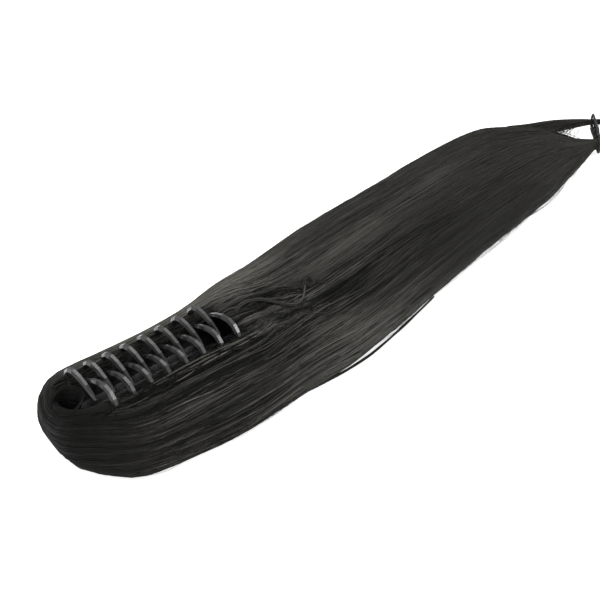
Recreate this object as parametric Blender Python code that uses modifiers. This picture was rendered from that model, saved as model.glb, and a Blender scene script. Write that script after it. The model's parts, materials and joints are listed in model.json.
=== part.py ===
"""Claw-clip ponytail hairpiece of straight dark hair, lying with its claw upwards.

The rounded head is at the low end of X and the tied tail at the high end. +Y is the far side,
+Z is up, and the hair lies on z = 0. Lengths are in metres. While it is built, x = 0 is the tip
of the head and y = 0 is the middle plane of the claw. The empty at the end of the script moves the
whole model so that its origin is under the middle of its box.
"""
import math

import bmesh
import bpy
from mathutils import Matrix, Vector

MM = 0.001
PART_GAP = 0.3 * MM

# Teeth of the claw
TOOTH_COUNT = 8
TOOTH_PITCH = 10.6 * MM
TOOTH_RADIUS = 1.7 * MM
TOOTH_RISE = 8.0 * MM
TOOTH_OVERLAP = 8.0 * MM
TOOTH_ROOT_DEPTH = 2.0 * MM
TOOTH_ROOT_PULL = 1.0 * MM
TOOTH_TIP_RISE = 0.4 * MM
TOOTH_TIP_PULL = 0.45
END_TEETH_RISE = 3.7 * MM
FIRST_TOOTH_X = 17.5 * MM
# Thickness along a tooth, full to past its middle and rounded off at its tip
TOOTH_TAPER = (
    # share of its path, share of TOOTH_RADIUS
    (0.00, 1.00),
    (0.12, 1.00),
    (0.25, 1.00),
    (0.40, 1.00),
    (0.55, 1.00),
    (0.70, 0.97),
    (0.84, 0.88),
    (0.94, 0.70),
    (1.00, 0.42),
)

# Shells of the jaws
SHELL_THICKNESS = 2.0 * MM
SHELL_END_MARGIN = 4.0 * MM
RIM_HEIGHT = 33.0 * MM
RIM_HALF_WIDTH = 17.0 * MM
RIM_END_SHARE = 0.3
SHELL_FOOT_OUT = 4.5 * MM
SHELL_FOOT_RISE = 1.0 * MM
SHELL_BELLY_RISE = 5.0 * MM

# Hinge, finger grips and spring
HINGE_HEIGHT = 10.0 * MM
OPENING_ANGLE = math.radians(45.0)
OPENING_SPARE = math.radians(1.5)
PIN_RADIUS = 1.4 * MM
PIN_HEAD_RADIUS = 2.2 * MM
PIN_HEAD_LENGTH = 1.2 * MM
KNUCKLE_RADIUS = 3.2 * MM
KNUCKLE_LENGTH = 5.5 * MM
WEB_THICKNESS = 1.7 * MM
WEB_OVERLAP = 0.5 * MM
SPRING_SPACE = 20.0 * MM
SPRING_WIRE_RADIUS = 0.45 * MM
SPRING_RADIUS = 2.3 * MM
SPRING_TURNS = 5
GRIP_LENGTH = 14.5 * MM
GRIP_WIDTH = 34.0 * MM
GRIP_THICKNESS = 2.2 * MM
GRIP_SLOPE = math.radians(22.0)
GRIP_ROOT_OUT = 4.0 * MM
GRIP_ROOT_RISE = 0.4 * MM

# Hair
HAIR_LENGTH = 430.0 * MM
HAIR_WIDTH = 92.0 * MM
HAIR_OVER_RIM = 5.0 * MM
NOSE_LENGTH = 30.0 * MM
NOSE_RISE_LENGTH = 21.0 * MM
NOSE_CENTRE_Y = 12.0 * MM
NOSE_LIFT = 0.7
HOLLOW_RADIUS = 11.0 * MM
HOLLOW_FLARE = 4.5 * MM
HOLLOW_X = 14.5 * MM
HOLLOW_Y = 5.0 * MM
HOLLOW_FLOOR = 12.0 * MM
CLAW_WALL = 3.5 * MM
RIDGE_COUNT = 12
RIDGE_DEPTH = 1.4 * MM
RIDGE_WAVE = 210.0 * MM
RIDGE_WANDER = 0.24
RIDGE_SHIFT = 0.31
RIDGE_SHOULDER = 0.32
NOSE_STATIONS = 5
BODY_STATIONS = 20
CLOSING_STATIONS = 5

# Tie at the end of the tail
TIE_WIRE_RADIUS = 0.8 * MM
TIE_LENGTH = 45.0 * MM
TIE_HEIGHT = 12.0 * MM
TIE_NECK = 3.0 * MM
BUNDLE_FIT = 0.95
END_TUFT_LENGTH = 14.0 * MM
TIE_FORWARD = 44.5 * MM
TIE_ASIDE = 18.5 * MM
TIE_HEADING = math.radians(-46.0)
THIN_BUNDLE_RADIUS = 1.8 * MM
THIN_BUNDLE_SWELL = 6.0 * MM
THIN_BUNDLE_START = 0.93
THIN_BUNDLE_RISE = 0.3
EDGE_PULL = 0.3
GAP_PULL = 0.32

# Sections of the hair. Along, near_x and far_x are shares of HAIR_LENGTH, near_y and far_y shares of
# HAIR_WIDTH, and high is a share of the height of the head. Each section stands on the line from its
# near edge to its far edge, and the last ones turn with the hair towards the tie.
HAIR_SECTIONS = (
    # along, near_x, near_y, far_x, far_y, high
    (0.000, 0.000, -0.420, 0.000, 0.430, 1.00),
    (0.140, 0.140, -0.510, 0.140, 0.388, 1.00),
    (0.220, 0.220, -0.525, 0.220, 0.405, 1.00),
    (0.290, 0.290, -0.520, 0.290, 0.485, 0.97),
    (0.365, 0.365, -0.505, 0.365, 0.550, 0.87),
    (0.455, 0.455, -0.418, 0.455, 0.665, 0.74),
    (0.550, 0.550, -0.310, 0.550, 0.735, 0.65),
    (0.640, 0.640, -0.225, 0.640, 0.785, 0.57),
    (0.730, 0.730, -0.155, 0.730, 0.855, 0.49),
    (0.830, 0.805, -0.100, 0.850, 0.900, 0.42),
    (0.900, 0.862, -0.045, 0.915, 0.885, 0.36),
    (0.955, 0.905, 0.020, 0.957, 0.770, 0.31),
    (1.000, 0.942, 0.060, 0.993, 0.650, 0.26),
)

# Locks that lie on the hair. Start and end are shares of HAIR_LENGTH, from_side and to_side run from 0
# at the near edge over the top to 1 at the far edge, and width and rise are shares of LOCK_WIDTH and
# LOCK_RISE.
LOCK_WIDTH = 7.0 * MM
LOCK_RISE = 2.6 * MM
LOCK_SINK = 2.2 * MM
LOCK_BEDDING = 0.4
LOCK_LEAST = 0.45
LOCK_END_SHARE = 0.06
LOCK_WANDER = 0.012
# Across is a share of the strip's half width. Level is a share of its rise, or of LOCK_SINK below 0.
LOCK_SECTION = (
    # across, level
    (-1.00, 0.10),
    (-0.55, 0.85),
    (0.00, 1.00),
    (0.55, 0.85),
    (1.00, 0.10),
    (0.70, -1.20),
    (-0.70, -1.20),
)
SURFACE_LOCKS = (
    # start, end, from_side, to_side, width, rise
    (0.05, 0.50, 0.280, 0.200, 1.00, 1.00),
    (0.06, 0.42, 0.205, 0.100, 0.80, 0.90),
    (0.10, 0.55, 0.370, 0.330, 0.90, 0.80),
    (0.30, 0.85, 0.260, 0.380, 1.10, 0.90),
    (0.27, 0.80, 0.600, 0.520, 1.10, 0.85),
    (0.30, 0.93, 0.760, 0.700, 1.10, 0.85),
    (0.45, 0.97, 0.140, 0.220, 0.90, 0.80),
    (0.03, 0.36, 0.780, 0.860, 0.80, 0.80),
)

# Wavy short locks behind the claw. Start and length are shares of TUFT_LENGTH, side is a share of
# HAIR_WIDTH from the claw's plane, and swing, the height of the wave, a share of TUFT_SWING.
TUFT_LENGTH = 62.0 * MM
TUFT_SWING = 1.6 * MM
TUFT_WAVE = 30.0 * MM
TUFT_RADIUS = 1.7 * MM
TUFT_TAPER = 0.75
TUFT_START = 0.15
CURL_LIFT = 0.8 * MM
TUFT_LOCKS = (
    # start, length, side, turn, swing, phase
    (0.03, 0.80, -0.300, 0.10, 0.60, 0.10),
    (0.03, 0.90, -0.215, 0.05, 0.80, 0.45),
    (0.02, 0.75, -0.140, -0.03, 0.70, 0.75),
    (0.02, 0.95, 0.045, -0.16, 0.90, 0.20),
)
# The one lock that curls clear of the rest, with its hooked end. Along is a share of TUFT_LENGTH,
# side a share of HAIR_WIDTH.
CURL_LOCK = (
    # along, side
    (0.02, -0.060),
    (0.22, 0.010),
    (0.36, 0.005),
    (0.46, -0.070),
    (0.56, -0.148),
    (0.68, -0.172),
    (0.78, -0.130),
    (0.86, -0.060),
)

# The short free ends past the tie. Past is a share of END_TUFT_LENGTH, width of the bundle's radius.
TUFT_WIDTHS = (
    # past, width
    (0.20, 1.00),
    (0.45, 1.20),
    (0.80, 0.95),
    (1.00, 0.50),
)

# Worked out from the sizes above
HEAD_HEIGHT = RIM_HEIGHT + HAIR_OVER_RIM
CLAW_START = FIRST_TOOTH_X - SHELL_END_MARGIN
LAST_TOOTH_X = FIRST_TOOTH_X + (TOOTH_COUNT - 0.5) * TOOTH_PITCH
CLAW_END = LAST_TOOTH_X + SHELL_END_MARGIN
CLAW_MIDDLE = 0.5 * (CLAW_START + CLAW_END)
HEAD_END = CLAW_END + PART_GAP + CLAW_WALL
BORE_RADIUS = PIN_RADIUS + PART_GAP
TIE_BEND_RADIUS = 0.5 * TIE_HEIGHT - TIE_WIRE_RADIUS
TIE_BUNDLE_REACH = 0.5 * TIE_LENGTH - TIE_WIRE_RADIUS - TIE_BEND_RADIUS
THICK_BUNDLE_RADIUS = (TIE_BEND_RADIUS - TIE_WIRE_RADIUS - PART_GAP) * BUNDLE_FIT
OUTSIDE = HAIR_LENGTH + HAIR_WIDTH + TIE_LENGTH
MERGE_DISTANCE = 0.0005 * MM
FRAME_STEP = 0.02
OUTER_SHARE = 0.34
SECTION_POWER = 2.3
FLAT_UNDERSIDE = 1.35
UNDERSIDE_STEPS = 5
SIDE_NEAR = -1
SIDE_FAR = 1


def clear_scene():
    for item in list(bpy.data.objects):
        bpy.data.objects.remove(item, do_unlink=True)


def make_collection(name):
    collection = bpy.data.collections.new(name)
    bpy.context.scene.collection.children.link(collection)
    return collection


def make_material(name, colour, roughness, metallic):
    material = bpy.data.materials.new(name)
    material.use_nodes = True
    shader = material.node_tree.nodes["Principled BSDF"]
    shader.inputs["Base Color"].default_value = (*colour, 1.0)
    shader.inputs["Roughness"].default_value = roughness
    shader.inputs["Metallic"].default_value = metallic
    return material


def add_object(name, data, collection, material=None):
    item = bpy.data.objects.new(name, data)
    collection.objects.link(item)
    if material is not None:
        item.data.materials.clear()
        item.data.materials.append(material)
    return item


def as_cutter(item):
    item.hide_render = True
    item.display_type = "WIRE"
    return item


def bmesh_object(name, bm, collection):
    bmesh.ops.recalc_face_normals(bm, faces=bm.faces)
    bmesh.ops.triangulate(bm, faces=[face for face in bm.faces if len(face.verts) > 4])
    mesh = bpy.data.meshes.new(name)
    bm.to_mesh(mesh)
    bm.free()
    return add_object(name, mesh, collection)


def evaluated_mesh(item):
    depsgraph = bpy.context.evaluated_depsgraph_get()
    return bpy.data.meshes.new_from_object(item.evaluated_get(depsgraph))


def apply_modifiers(item):
    mesh = evaluated_mesh(item)
    item.modifiers.clear()
    item.data = mesh


def tidy_mesh(item):
    """Merge the points that a cut leaves on top of each other."""
    bm = bmesh.new()
    bm.from_mesh(item.data)
    bmesh.ops.remove_doubles(bm, verts=bm.verts, dist=MERGE_DISTANCE)
    bmesh.ops.dissolve_degenerate(bm, edges=bm.edges, dist=MERGE_DISTANCE)
    bmesh.ops.triangulate(bm, faces=bm.faces)
    bm.to_mesh(item.data)
    bm.free()


def boolean(target, tool, operation):
    """Cut, join or keep the common part of two closed meshes, and apply it."""
    modifier = target.modifiers.new(tool.name, "BOOLEAN")
    modifier.operation = operation
    modifier.solver = "EXACT"
    modifier.object = tool
    bpy.context.view_layer.update()
    apply_modifiers(target)
    tidy_mesh(target)


def fuse(target, tools):
    """Join each tool to the target and remove it."""
    for tool in tools:
        boolean(target, tool, "UNION")
        bpy.data.objects.remove(tool, do_unlink=True)
    return target


def curve_to_mesh(curve_object, collection):
    """Turn a capped curve into one closed mesh object."""
    mesh = evaluated_mesh(curve_object)
    bm = bmesh.new()
    bm.from_mesh(mesh)
    bmesh.ops.remove_doubles(bm, verts=bm.verts, dist=MERGE_DISTANCE)
    bmesh.ops.recalc_face_normals(bm, faces=bm.faces)
    bm.to_mesh(mesh)
    bm.free()
    item = add_object(curve_object.name + "_mesh", mesh, collection)
    item.matrix_world = curve_object.matrix_world
    bpy.data.objects.remove(curve_object, do_unlink=True)
    return item


def box(name, low, high, collection):
    """Box between two corners."""
    bm = bmesh.new()
    bmesh.ops.create_cube(bm, size=1.0)
    size = Vector(high) - Vector(low)
    middle = (Vector(high) + Vector(low)) / 2
    bmesh.ops.transform(bm, matrix=Matrix.Translation(middle) @ Matrix.Diagonal((*size, 1.0)), verts=bm.verts)
    return bmesh_object(name, bm, collection)


def rod_along_x(name, start, end, radius, sides, collection):
    """Cylinder round the hinge axis."""
    bm = bmesh.new()
    depth = end - start
    bmesh.ops.create_cone(bm, cap_ends=True, segments=sides, radius1=radius, radius2=radius, depth=depth)
    turn = Matrix.Rotation(math.radians(90.0), 4, "Y")
    place = Matrix.Translation((0.5 * (start + end), 0.0, HINGE_HEIGHT))
    bmesh.ops.transform(bm, matrix=place @ turn, verts=bm.verts)
    return bmesh_object(name, bm, collection)


def prism_along_x(name, outline, start, end, collection):
    """Closed (y, z) outline stretched along X."""
    bm = bmesh.new()
    face = bm.faces.new([bm.verts.new((start, y, z)) for y, z in outline])
    grown = bmesh.ops.extrude_face_region(bm, geom=[face])
    moved = [element for element in grown["geom"] if isinstance(element, bmesh.types.BMVert)]
    bmesh.ops.translate(bm, verts=moved, vec=(end - start, 0.0, 0.0))
    return bmesh_object(name, bm, collection)


def loft(name, rings, collection):
    """Closed body through rings that have the same number of points."""
    bm = bmesh.new()
    rows = [[bm.verts.new(point) for point in ring] for ring in rings]
    count = len(rows[0])
    for first, second in zip(rows, rows[1:]):
        for index in range(count):
            after = (index + 1) % count
            bm.faces.new((first[index], first[after], second[after], second[index]))
    bm.faces.new(rows[0])
    bm.faces.new(rows[-1])
    bmesh.ops.triangulate(bm, faces=bm.faces)
    return bmesh_object(name, bm, collection)


def smooth_value(places, values, place):
    """Smooth curve through a column of a table."""
    last = len(places) - 1
    index = 0
    while index < last - 1 and place > places[index + 1]:
        index += 1
    step = places[index + 1] - places[index]
    share = min(max((place - places[index]) / step, 0.0), 1.0)

    def slope(at):
        before = max(at - 1, 0)
        after = min(at + 1, last)
        return (values[after] - values[before]) / (places[after] - places[before])

    square = share * share
    cube = square * share
    return (
        (2 * cube - 3 * square + 1) * values[index]
        + (cube - 2 * square + share) * step * slope(index)
        + (3 * square - 2 * cube) * values[index + 1]
        + (cube - square) * step * slope(index + 1)
    )


def nose_fullness(along, length):
    """Share of the full section that the rounded nose has reached."""
    rest = 1.0 - min(along * HAIR_LENGTH / length, 1.0)
    return (1.0 - rest ** SECTION_POWER) ** (1.0 / SECTION_POWER)


def hair_frame(along):
    """Near edge, far edge, lowest and highest level of the hair at a share of its length."""
    places = [row[0] for row in HAIR_SECTIONS]
    near_x, near_y, far_x, far_y, high = (
        smooth_value(places, [row[column] for row in HAIR_SECTIONS], along) for column in range(1, 6)
    )
    near = Vector((near_x * HAIR_LENGTH, near_y * HAIR_WIDTH, 0.0))
    far = Vector((far_x * HAIR_LENGTH, far_y * HAIR_WIDTH, 0.0))
    high *= HEAD_HEIGHT
    width_fullness = nose_fullness(along, NOSE_LENGTH)
    near.y = NOSE_CENTRE_Y + (near.y - NOSE_CENTRE_Y) * width_fullness
    far.y = NOSE_CENTRE_Y + (far.y - NOSE_CENTRE_Y) * width_fullness
    height_fullness = nose_fullness(along, NOSE_RISE_LENGTH)
    waist = OUTER_SHARE * high
    low = waist * (1.0 - height_fullness) * NOSE_LIFT
    high = waist + (high - waist) * height_fullness
    return near, far, low, high, 0.0


def section_point(frame, side, depth=0.0):
    """Point of a section. Side 0 to 1 goes over the top from the near edge, and 1 to 2 back underneath."""
    near, far, low, high, roundness = frame
    waist = low + (OUTER_SHARE + (0.5 - OUTER_SHARE) * roundness) * (high - low)
    power = SECTION_POWER + (2.0 - SECTION_POWER) * roundness
    angle = math.pi * side
    across = -math.copysign(abs(math.cos(angle)) ** (2 / power), math.cos(angle))
    rise = abs(math.sin(angle)) ** (2 / power)
    offset = 0.5 * (far - near) * across
    if side <= 1.0:
        offset.z = (high - waist) * rise
    else:
        flat = FLAT_UNDERSIDE + (1.0 - FLAT_UNDERSIDE) * roundness
        offset.z = -(waist - low) * min(flat * rise, 1.0)
    if depth and offset.length > depth:
        offset *= 1.0 - depth / offset.length
    return 0.5 * (near + far) + Vector((0.0, 0.0, waist)) + offset


def hair_point(along, side, depth=0.0):
    return section_point(hair_frame(along), side, depth)


def hair_top(x, y):
    """Height of the hair over a point near the claw, where its sections stand across X."""
    near, far, _, high, _ = hair_frame(x / HAIR_LENGTH)
    across = abs(y - 0.5 * (near.y + far.y)) / (0.5 * (far.y - near.y))
    waist = OUTER_SHARE * high
    return waist + (high - waist) * (1.0 - min(across, 1.0) ** SECTION_POWER) ** (1 / SECTION_POWER)


def tie_place(across):
    """Point at a distance from the middle of the tie, with the tie's and the hair's directions there."""
    near = hair_frame(1.0)[0]
    forward = Vector((math.cos(TIE_HEADING), math.sin(TIE_HEADING), 0.0))
    along_tie = Vector((-forward.y, forward.x, 0.0))
    point = near + Vector((TIE_FORWARD, TIE_ASIDE, PART_GAP + 0.5 * TIE_HEIGHT)) + along_tie * across
    return point, along_tie, forward


def bend(start, leaving, arriving, end, share):
    """Point of a curve that leaves and arrives along two given steps."""
    rest = 1.0 - share
    return (
        start * rest ** 3
        + (start + leaving) * 3 * rest ** 2 * share
        + (end - arriving) * 3 * rest * share ** 2
        + end * share ** 3
    )


def closing_frame(share):
    """Frame between the last section, at 0, and the thick bundle just before the tie, at 1."""
    near, far, _, high, _ = hair_frame(1.0)
    last_near, last_far, last_low, last_high, _ = bundle_frame(-TIE_NECK, 1.0)
    forward = tie_place(0.0)[2]
    reach = (last_near - near).length
    onwards = (near - hair_frame(1.0 - FRAME_STEP)[0]).normalized()
    edge = bend(near, onwards * reach * EDGE_PULL, onwards * reach * EDGE_PULL, last_near, share)
    inwards = (near - far) * GAP_PULL
    other = bend(far, inwards, forward * reach * EDGE_PULL, last_far, share)
    return edge, other, last_low * share ** 2, high + (last_high - high) * share, share


def bundle_frame(past, width):
    """Frame of the thick bundle at a distance past the tie."""
    middle, along_tie, forward = tie_place(-TIE_BUNDLE_REACH)
    radius = THICK_BUNDLE_RADIUS * width
    centre = Vector((middle.x, middle.y, 0.0)) + forward * past
    return centre - along_tie * radius, centre + along_tie * radius, middle.z - radius, middle.z + radius, 1.0


def hair_core(collection):
    """Backing of the hair, with its strips as ridges that wander along it and close on the tie."""
    nose_steps = [math.pi * (step + 0.5) / (2 * NOSE_STATIONS) for step in range(NOSE_STATIONS)]
    stations = [(1.0 - math.cos(angle)) * NOSE_LENGTH / HAIR_LENGTH for angle in nose_steps]
    first = NOSE_LENGTH / HAIR_LENGTH
    stations += [first + (1.0 - first) * index / BODY_STATIONS for index in range(BODY_STATIONS + 1)]
    frames = [(along, hair_frame(along)) for along in stations]
    frames += [(1.0, closing_frame((step + 1) / CLOSING_STATIONS)) for step in range(CLOSING_STATIONS)]
    frames += [(1.0, bundle_frame(END_TUFT_LENGTH * past, width)) for past, width in TUFT_WIDTHS]
    rings = []
    for along, frame in frames:
        _, _, low_level, high_level, roundness = frame
        fade = min(1.0, along * HAIR_LENGTH / NOSE_LENGTH) * (1.0 - roundness)
        depth = RIDGE_DEPTH * fade * (high_level - low_level) / HEAD_HEIGHT
        turns = along * HAIR_LENGTH / RIDGE_WAVE
        valleys = [
            (ridge + RIDGE_WANDER * math.sin(2 * math.pi * (turns + RIDGE_SHIFT * ridge))) / RIDGE_COUNT
            for ridge in range(RIDGE_COUNT + 1)
        ]
        valleys[0] = 0.0
        valleys[-1] = 1.0
        ring = []
        for low, high in zip(valleys, valleys[1:]):
            ring.append(section_point(frame, low, depth))
            ring.append(section_point(frame, low + (high - low) * RIDGE_SHOULDER))
            ring.append(section_point(frame, high - (high - low) * RIDGE_SHOULDER))
        ring += [section_point(frame, 1.0 + index / UNDERSIDE_STEPS) for index in range(UNDERSIDE_STEPS)]
        rings.append(ring)
    return loft("hair_core", rings, collection)


def tube(name, points, radii, collection, sides=6, thins=None):
    """Closed tapering lock through points. Thins are its thickness as shares of its width."""
    rings = []
    for index, point in enumerate(points):
        before = points[max(index - 1, 0)]
        after = points[min(index + 1, len(points) - 1)]
        forward = (after - before).normalized()
        sideways = Vector((0.0, 0.0, 1.0)).cross(forward).normalized()
        upwards = forward.cross(sideways)
        thin = thins[index] if thins else 1.0
        ring = []
        for corner in range(sides):
            angle = 2 * math.pi * (corner + 0.5) / sides
            ring.append(
                point
                + sideways * radii[index] * math.cos(angle)
                + upwards * radii[index] * thin * math.sin(angle)
            )
        rings.append(ring)
    return loft(name, rings, collection)


def surface_lock(index, row, collection):
    """Flat strip that lies on the core and sinks into it at both ends."""
    start, end, from_side, to_side, width, rise = row
    stations = 11
    rings = []
    for station in range(stations):
        share = station / (stations - 1)
        along = start + (end - start) * share
        swell = math.sqrt(max(math.sin(math.pi * share), LOCK_END_SHARE))
        wander = LOCK_WANDER * math.sin(2 * math.pi * share + index)
        middle = from_side + (to_side - from_side) * share + wander
        near, far, _, high_level, _ = hair_frame(along)
        half = LOCK_WIDTH * width * swell / (math.pi * 0.5 * (far - near).length)
        thinner = max(LOCK_LEAST, high_level / HEAD_HEIGHT)
        ring = []
        for across, level in LOCK_SECTION:
            height = LOCK_RISE * rise * swell * max(level, 0.0) + LOCK_SINK * min(level, 0.0)
            depth = (LOCK_SINK * LOCK_BEDDING - height) * thinner
            ring.append(hair_point(along, middle + half * across, depth))
        rings.append(ring)
    return loft("surface_lock", rings, collection)


def tuft_lock(row, collection):
    """Short wavy lock on the hair behind the claw."""
    start, length, side, turn, swing, phase = row
    stations = 11
    points = []
    radii = []
    for station in range(stations):
        share = station / (stations - 1)
        x = HEAD_END + (start + length * share) * TUFT_LENGTH
        wave = math.sin(2 * math.pi * (length * TUFT_LENGTH * share / TUFT_WAVE + phase))
        y = (side + turn * share) * HAIR_WIDTH + TUFT_SWING * swing * wave * (1.0 + share)
        level = hair_top(x, y) - 2.0 * TUFT_RADIUS * max(1.0 - share / TUFT_START, 0.0)
        points.append(Vector((x, y, level)))
        radii.append(TUFT_RADIUS * (1.0 - TUFT_TAPER * share ** 2))
    return tube("tuft_lock", points, radii, collection, sides=6)


def curl_lock(collection):
    """The lock that stands clear, with a hooked end."""
    places = [index / (len(CURL_LOCK) - 1) for index in range(len(CURL_LOCK))]
    stations = 16
    points = []
    radii = []
    for station in range(stations):
        share = station / (stations - 1)
        x = HEAD_END + TUFT_LENGTH * smooth_value(places, [row[0] for row in CURL_LOCK], share)
        y = HAIR_WIDTH * smooth_value(places, [row[1] for row in CURL_LOCK], share)
        level = hair_top(x, y) + CURL_LIFT - 2.0 * TUFT_RADIUS * max(1.0 - share / TUFT_START, 0.0)
        points.append(Vector((x, y, level)))
        radii.append(TUFT_RADIUS * (1.0 - TUFT_TAPER * share))
    return tube("curl_lock", points, radii, collection, sides=6)


def thin_bundle(collection):
    """Outer lock that carries on the far edge and passes through the other end of the tie."""
    target, along_tie, forward = tie_place(TIE_BUNDLE_REACH)
    _, far, _, high, _ = hair_frame(THIN_BUNDLE_START)
    start = far + Vector((0.0, -PART_GAP, OUTER_SHARE * high))
    onwards = (hair_frame(1.0)[1] - hair_frame(1.0 - FRAME_STEP)[1]).normalized()
    outer_end = target + along_tie * THIN_BUNDLE_RADIUS
    pull = (outer_end - start).length * EDGE_PULL
    stations = 10
    points = []
    radii = []
    thins = []
    for station in range(stations):
        share = station / (stations - 1)
        outer = bend(start, onwards * pull, forward * pull, outer_end, share)
        after = bend(start, onwards * pull, forward * pull, outer_end, share + FRAME_STEP)
        heading = (after - outer).normalized()
        extra = (1.0 - share) * min(share / THIN_BUNDLE_RISE, 1.0)
        radius = THIN_BUNDLE_RADIUS + THIN_BUNDLE_SWELL * extra
        points.append(outer + Vector((heading.y, -heading.x, 0.0)) * radius)
        radii.append(radius)
        thins.append(min(1.0, OUTER_SHARE * high / radius))
    points[-1] = target
    for past, width in TUFT_WIDTHS:
        points.append(target + forward * END_TUFT_LENGTH * past)
        radii.append(THIN_BUNDLE_RADIUS * width)
        thins.append(1.0)
    return tube("thin_bundle", points, radii, collection, sides=8, thins=thins)


def shell_outline(side, offset=0.0, steps=6):
    """Points (y, z) up the middle of a jaw's shell, or beside it by an offset outwards."""
    foot = Vector((SHELL_FOOT_OUT, HINGE_HEIGHT + SHELL_FOOT_RISE))
    belly = Vector((RIM_HALF_WIDTH, HINGE_HEIGHT + SHELL_BELLY_RISE))
    rim = Vector((RIM_HALF_WIDTH, RIM_HEIGHT))
    points = []
    for step in range(steps + 1):
        share = step / steps
        rest = 1.0 - share
        point = foot * rest ** 2 + belly * 2 * rest * share + rim * share ** 2
        forward = ((belly - foot) * rest + (rim - belly) * share).normalized()
        outwards = Vector((forward.y, -forward.x))
        point = point + outwards * offset
        points.append((side * point.x, point.y))
    return points


def end_rise(x):
    """Extra height of the teeth towards the ends of the claw."""
    share = (x - CLAW_MIDDLE) / (0.5 * (LAST_TOOTH_X - FIRST_TOOTH_X))
    return END_TEETH_RISE * min(share * share, 1.0)


def tooth(side, x, collection):
    """One finger of the comb, from its root in the rim over to the other side."""
    rise = end_rise(x)
    top = RIM_HEIGHT + TOOTH_RISE + rise
    root = Vector((x, side * RIM_HALF_WIDTH, RIM_HEIGHT - TOOTH_ROOT_DEPTH))
    over_root = Vector((x, side * RIM_HALF_WIDTH, top + TOOTH_ROOT_PULL))
    over_tip = Vector((x, side * RIM_HALF_WIDTH * TOOTH_TIP_PULL, top + 2.0 * TOOTH_ROOT_PULL))
    tip = Vector((x, -side * TOOTH_OVERLAP, RIM_HEIGHT + TOOTH_TIP_RISE + rise))
    data = bpy.data.curves.new("tooth", "CURVE")
    data.dimensions = "3D"
    data.bevel_depth = TOOTH_RADIUS
    data.bevel_resolution = 1
    data.use_fill_caps = True
    spline = data.splines.new("POLY")
    spline.points.add(len(TOOTH_TAPER) - 1)
    for target, (share, width) in zip(spline.points, TOOTH_TAPER):
        target.co = (*bend(root, over_root - root, tip - over_tip, tip, share), 1.0)
        target.radius = width
    return curve_to_mesh(add_object("tooth", data, collection), collection)


def jaw_shell(side, collection):
    """Curved shell of one jaw, its rim a little higher at both ends."""
    columns = 6
    bm = bmesh.new()
    rows = []
    for column in range(columns + 1):
        x = CLAW_START + (CLAW_END - CLAW_START) * column / columns
        row = []
        for y, z in shell_outline(side):
            climb = (z - HINGE_HEIGHT) / (RIM_HEIGHT - HINGE_HEIGHT)
            row.append(bm.verts.new((x, y, z + end_rise(x) * RIM_END_SHARE * climb ** 3)))
        rows.append(row)
    for first, second in zip(rows, rows[1:]):
        for index in range(len(first) - 1):
            bm.faces.new((first[index], first[index + 1], second[index + 1], second[index]))
    shell = bmesh_object("jaw_shell", bm, collection)
    solid = shell.modifiers.new("thickness", "SOLIDIFY")
    solid.thickness = SHELL_THICKNESS
    solid.offset = 0.0
    apply_modifiers(shell)
    return shell


def finger_grip(side, collection, clearance=0.0):
    """Flat grip below the hinge. With a clearance it is the space that the hair leaves for it."""
    bm = bmesh.new()
    bmesh.ops.create_cube(bm, size=1.0)
    size = (
        GRIP_WIDTH + 2 * clearance,
        GRIP_LENGTH + 2 * clearance,
        GRIP_THICKNESS + 2 * clearance,
    )
    bmesh.ops.transform(bm, matrix=Matrix.Diagonal((*size, 1.0)), verts=bm.verts)
    out = Matrix.Translation((0.0, side * 0.5 * GRIP_LENGTH, 0.0))
    turn = Matrix.Rotation(-side * GRIP_SLOPE, 4, "X")
    place = Matrix.Translation((CLAW_MIDDLE, side * GRIP_ROOT_OUT, HINGE_HEIGHT + GRIP_ROOT_RISE))
    bmesh.ops.transform(bm, matrix=place @ turn @ out, verts=bm.verts)
    return bmesh_object("finger_grip", bm, collection)


def knuckle_spans(side):
    """Stretches along X of one jaw's hinge knuckles, inner pair for the near jaw."""
    inner = 0.5 * SPRING_SPACE
    if side == SIDE_FAR:
        inner += KNUCKLE_LENGTH + PART_GAP
    return (
        (CLAW_MIDDLE + inner, CLAW_MIDDLE + inner + KNUCKLE_LENGTH),
        (CLAW_MIDDLE - inner - KNUCKLE_LENGTH, CLAW_MIDDLE - inner),
    )


def jaw(name, side, first_tooth_x, collection):
    """One half of the claw: shell, teeth, knuckles and finger grip in one moulding."""
    body = jaw_shell(side, collection)
    body.name = name
    pieces = [tooth(side, first_tooth_x + index * TOOTH_PITCH, collection) for index in range(TOOTH_COUNT)]
    pieces.append(finger_grip(side, collection))
    for start, end in knuckle_spans(side):
        knuckle = rod_along_x("knuckle", start, end, KNUCKLE_RADIUS, 16, collection)
        bore = rod_along_x("bore", start - PART_GAP, end + PART_GAP, BORE_RADIUS, 12, collection)
        boolean(knuckle, bore, "DIFFERENCE")
        bpy.data.objects.remove(bore, do_unlink=True)
        pieces.append(knuckle)
        near_y, far_y = sorted((side * (BORE_RADIUS + PART_GAP), side * (SHELL_FOOT_OUT + WEB_OVERLAP)))
        low = HINGE_HEIGHT + PART_GAP
        pieces.append(box("web", (start, near_y, low), (end, far_y, low + WEB_THICKNESS), collection))
    return fuse(body, pieces)


def hinge_pin(collection):
    """Pin through the knuckles with a head at each end."""
    start = knuckle_spans(SIDE_FAR)[1][0] - PART_GAP
    end = knuckle_spans(SIDE_FAR)[0][1] + PART_GAP
    half_head = 0.5 * PIN_HEAD_LENGTH
    pin = rod_along_x("hinge_pin", start - half_head, end + half_head, PIN_RADIUS, 12, collection)
    heads = [
        rod_along_x("pin_head", start - PIN_HEAD_LENGTH, start, PIN_HEAD_RADIUS, 12, collection),
        rod_along_x("pin_head", end, end + PIN_HEAD_LENGTH, PIN_HEAD_RADIUS, 12, collection),
    ]
    return fuse(pin, heads)


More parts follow.
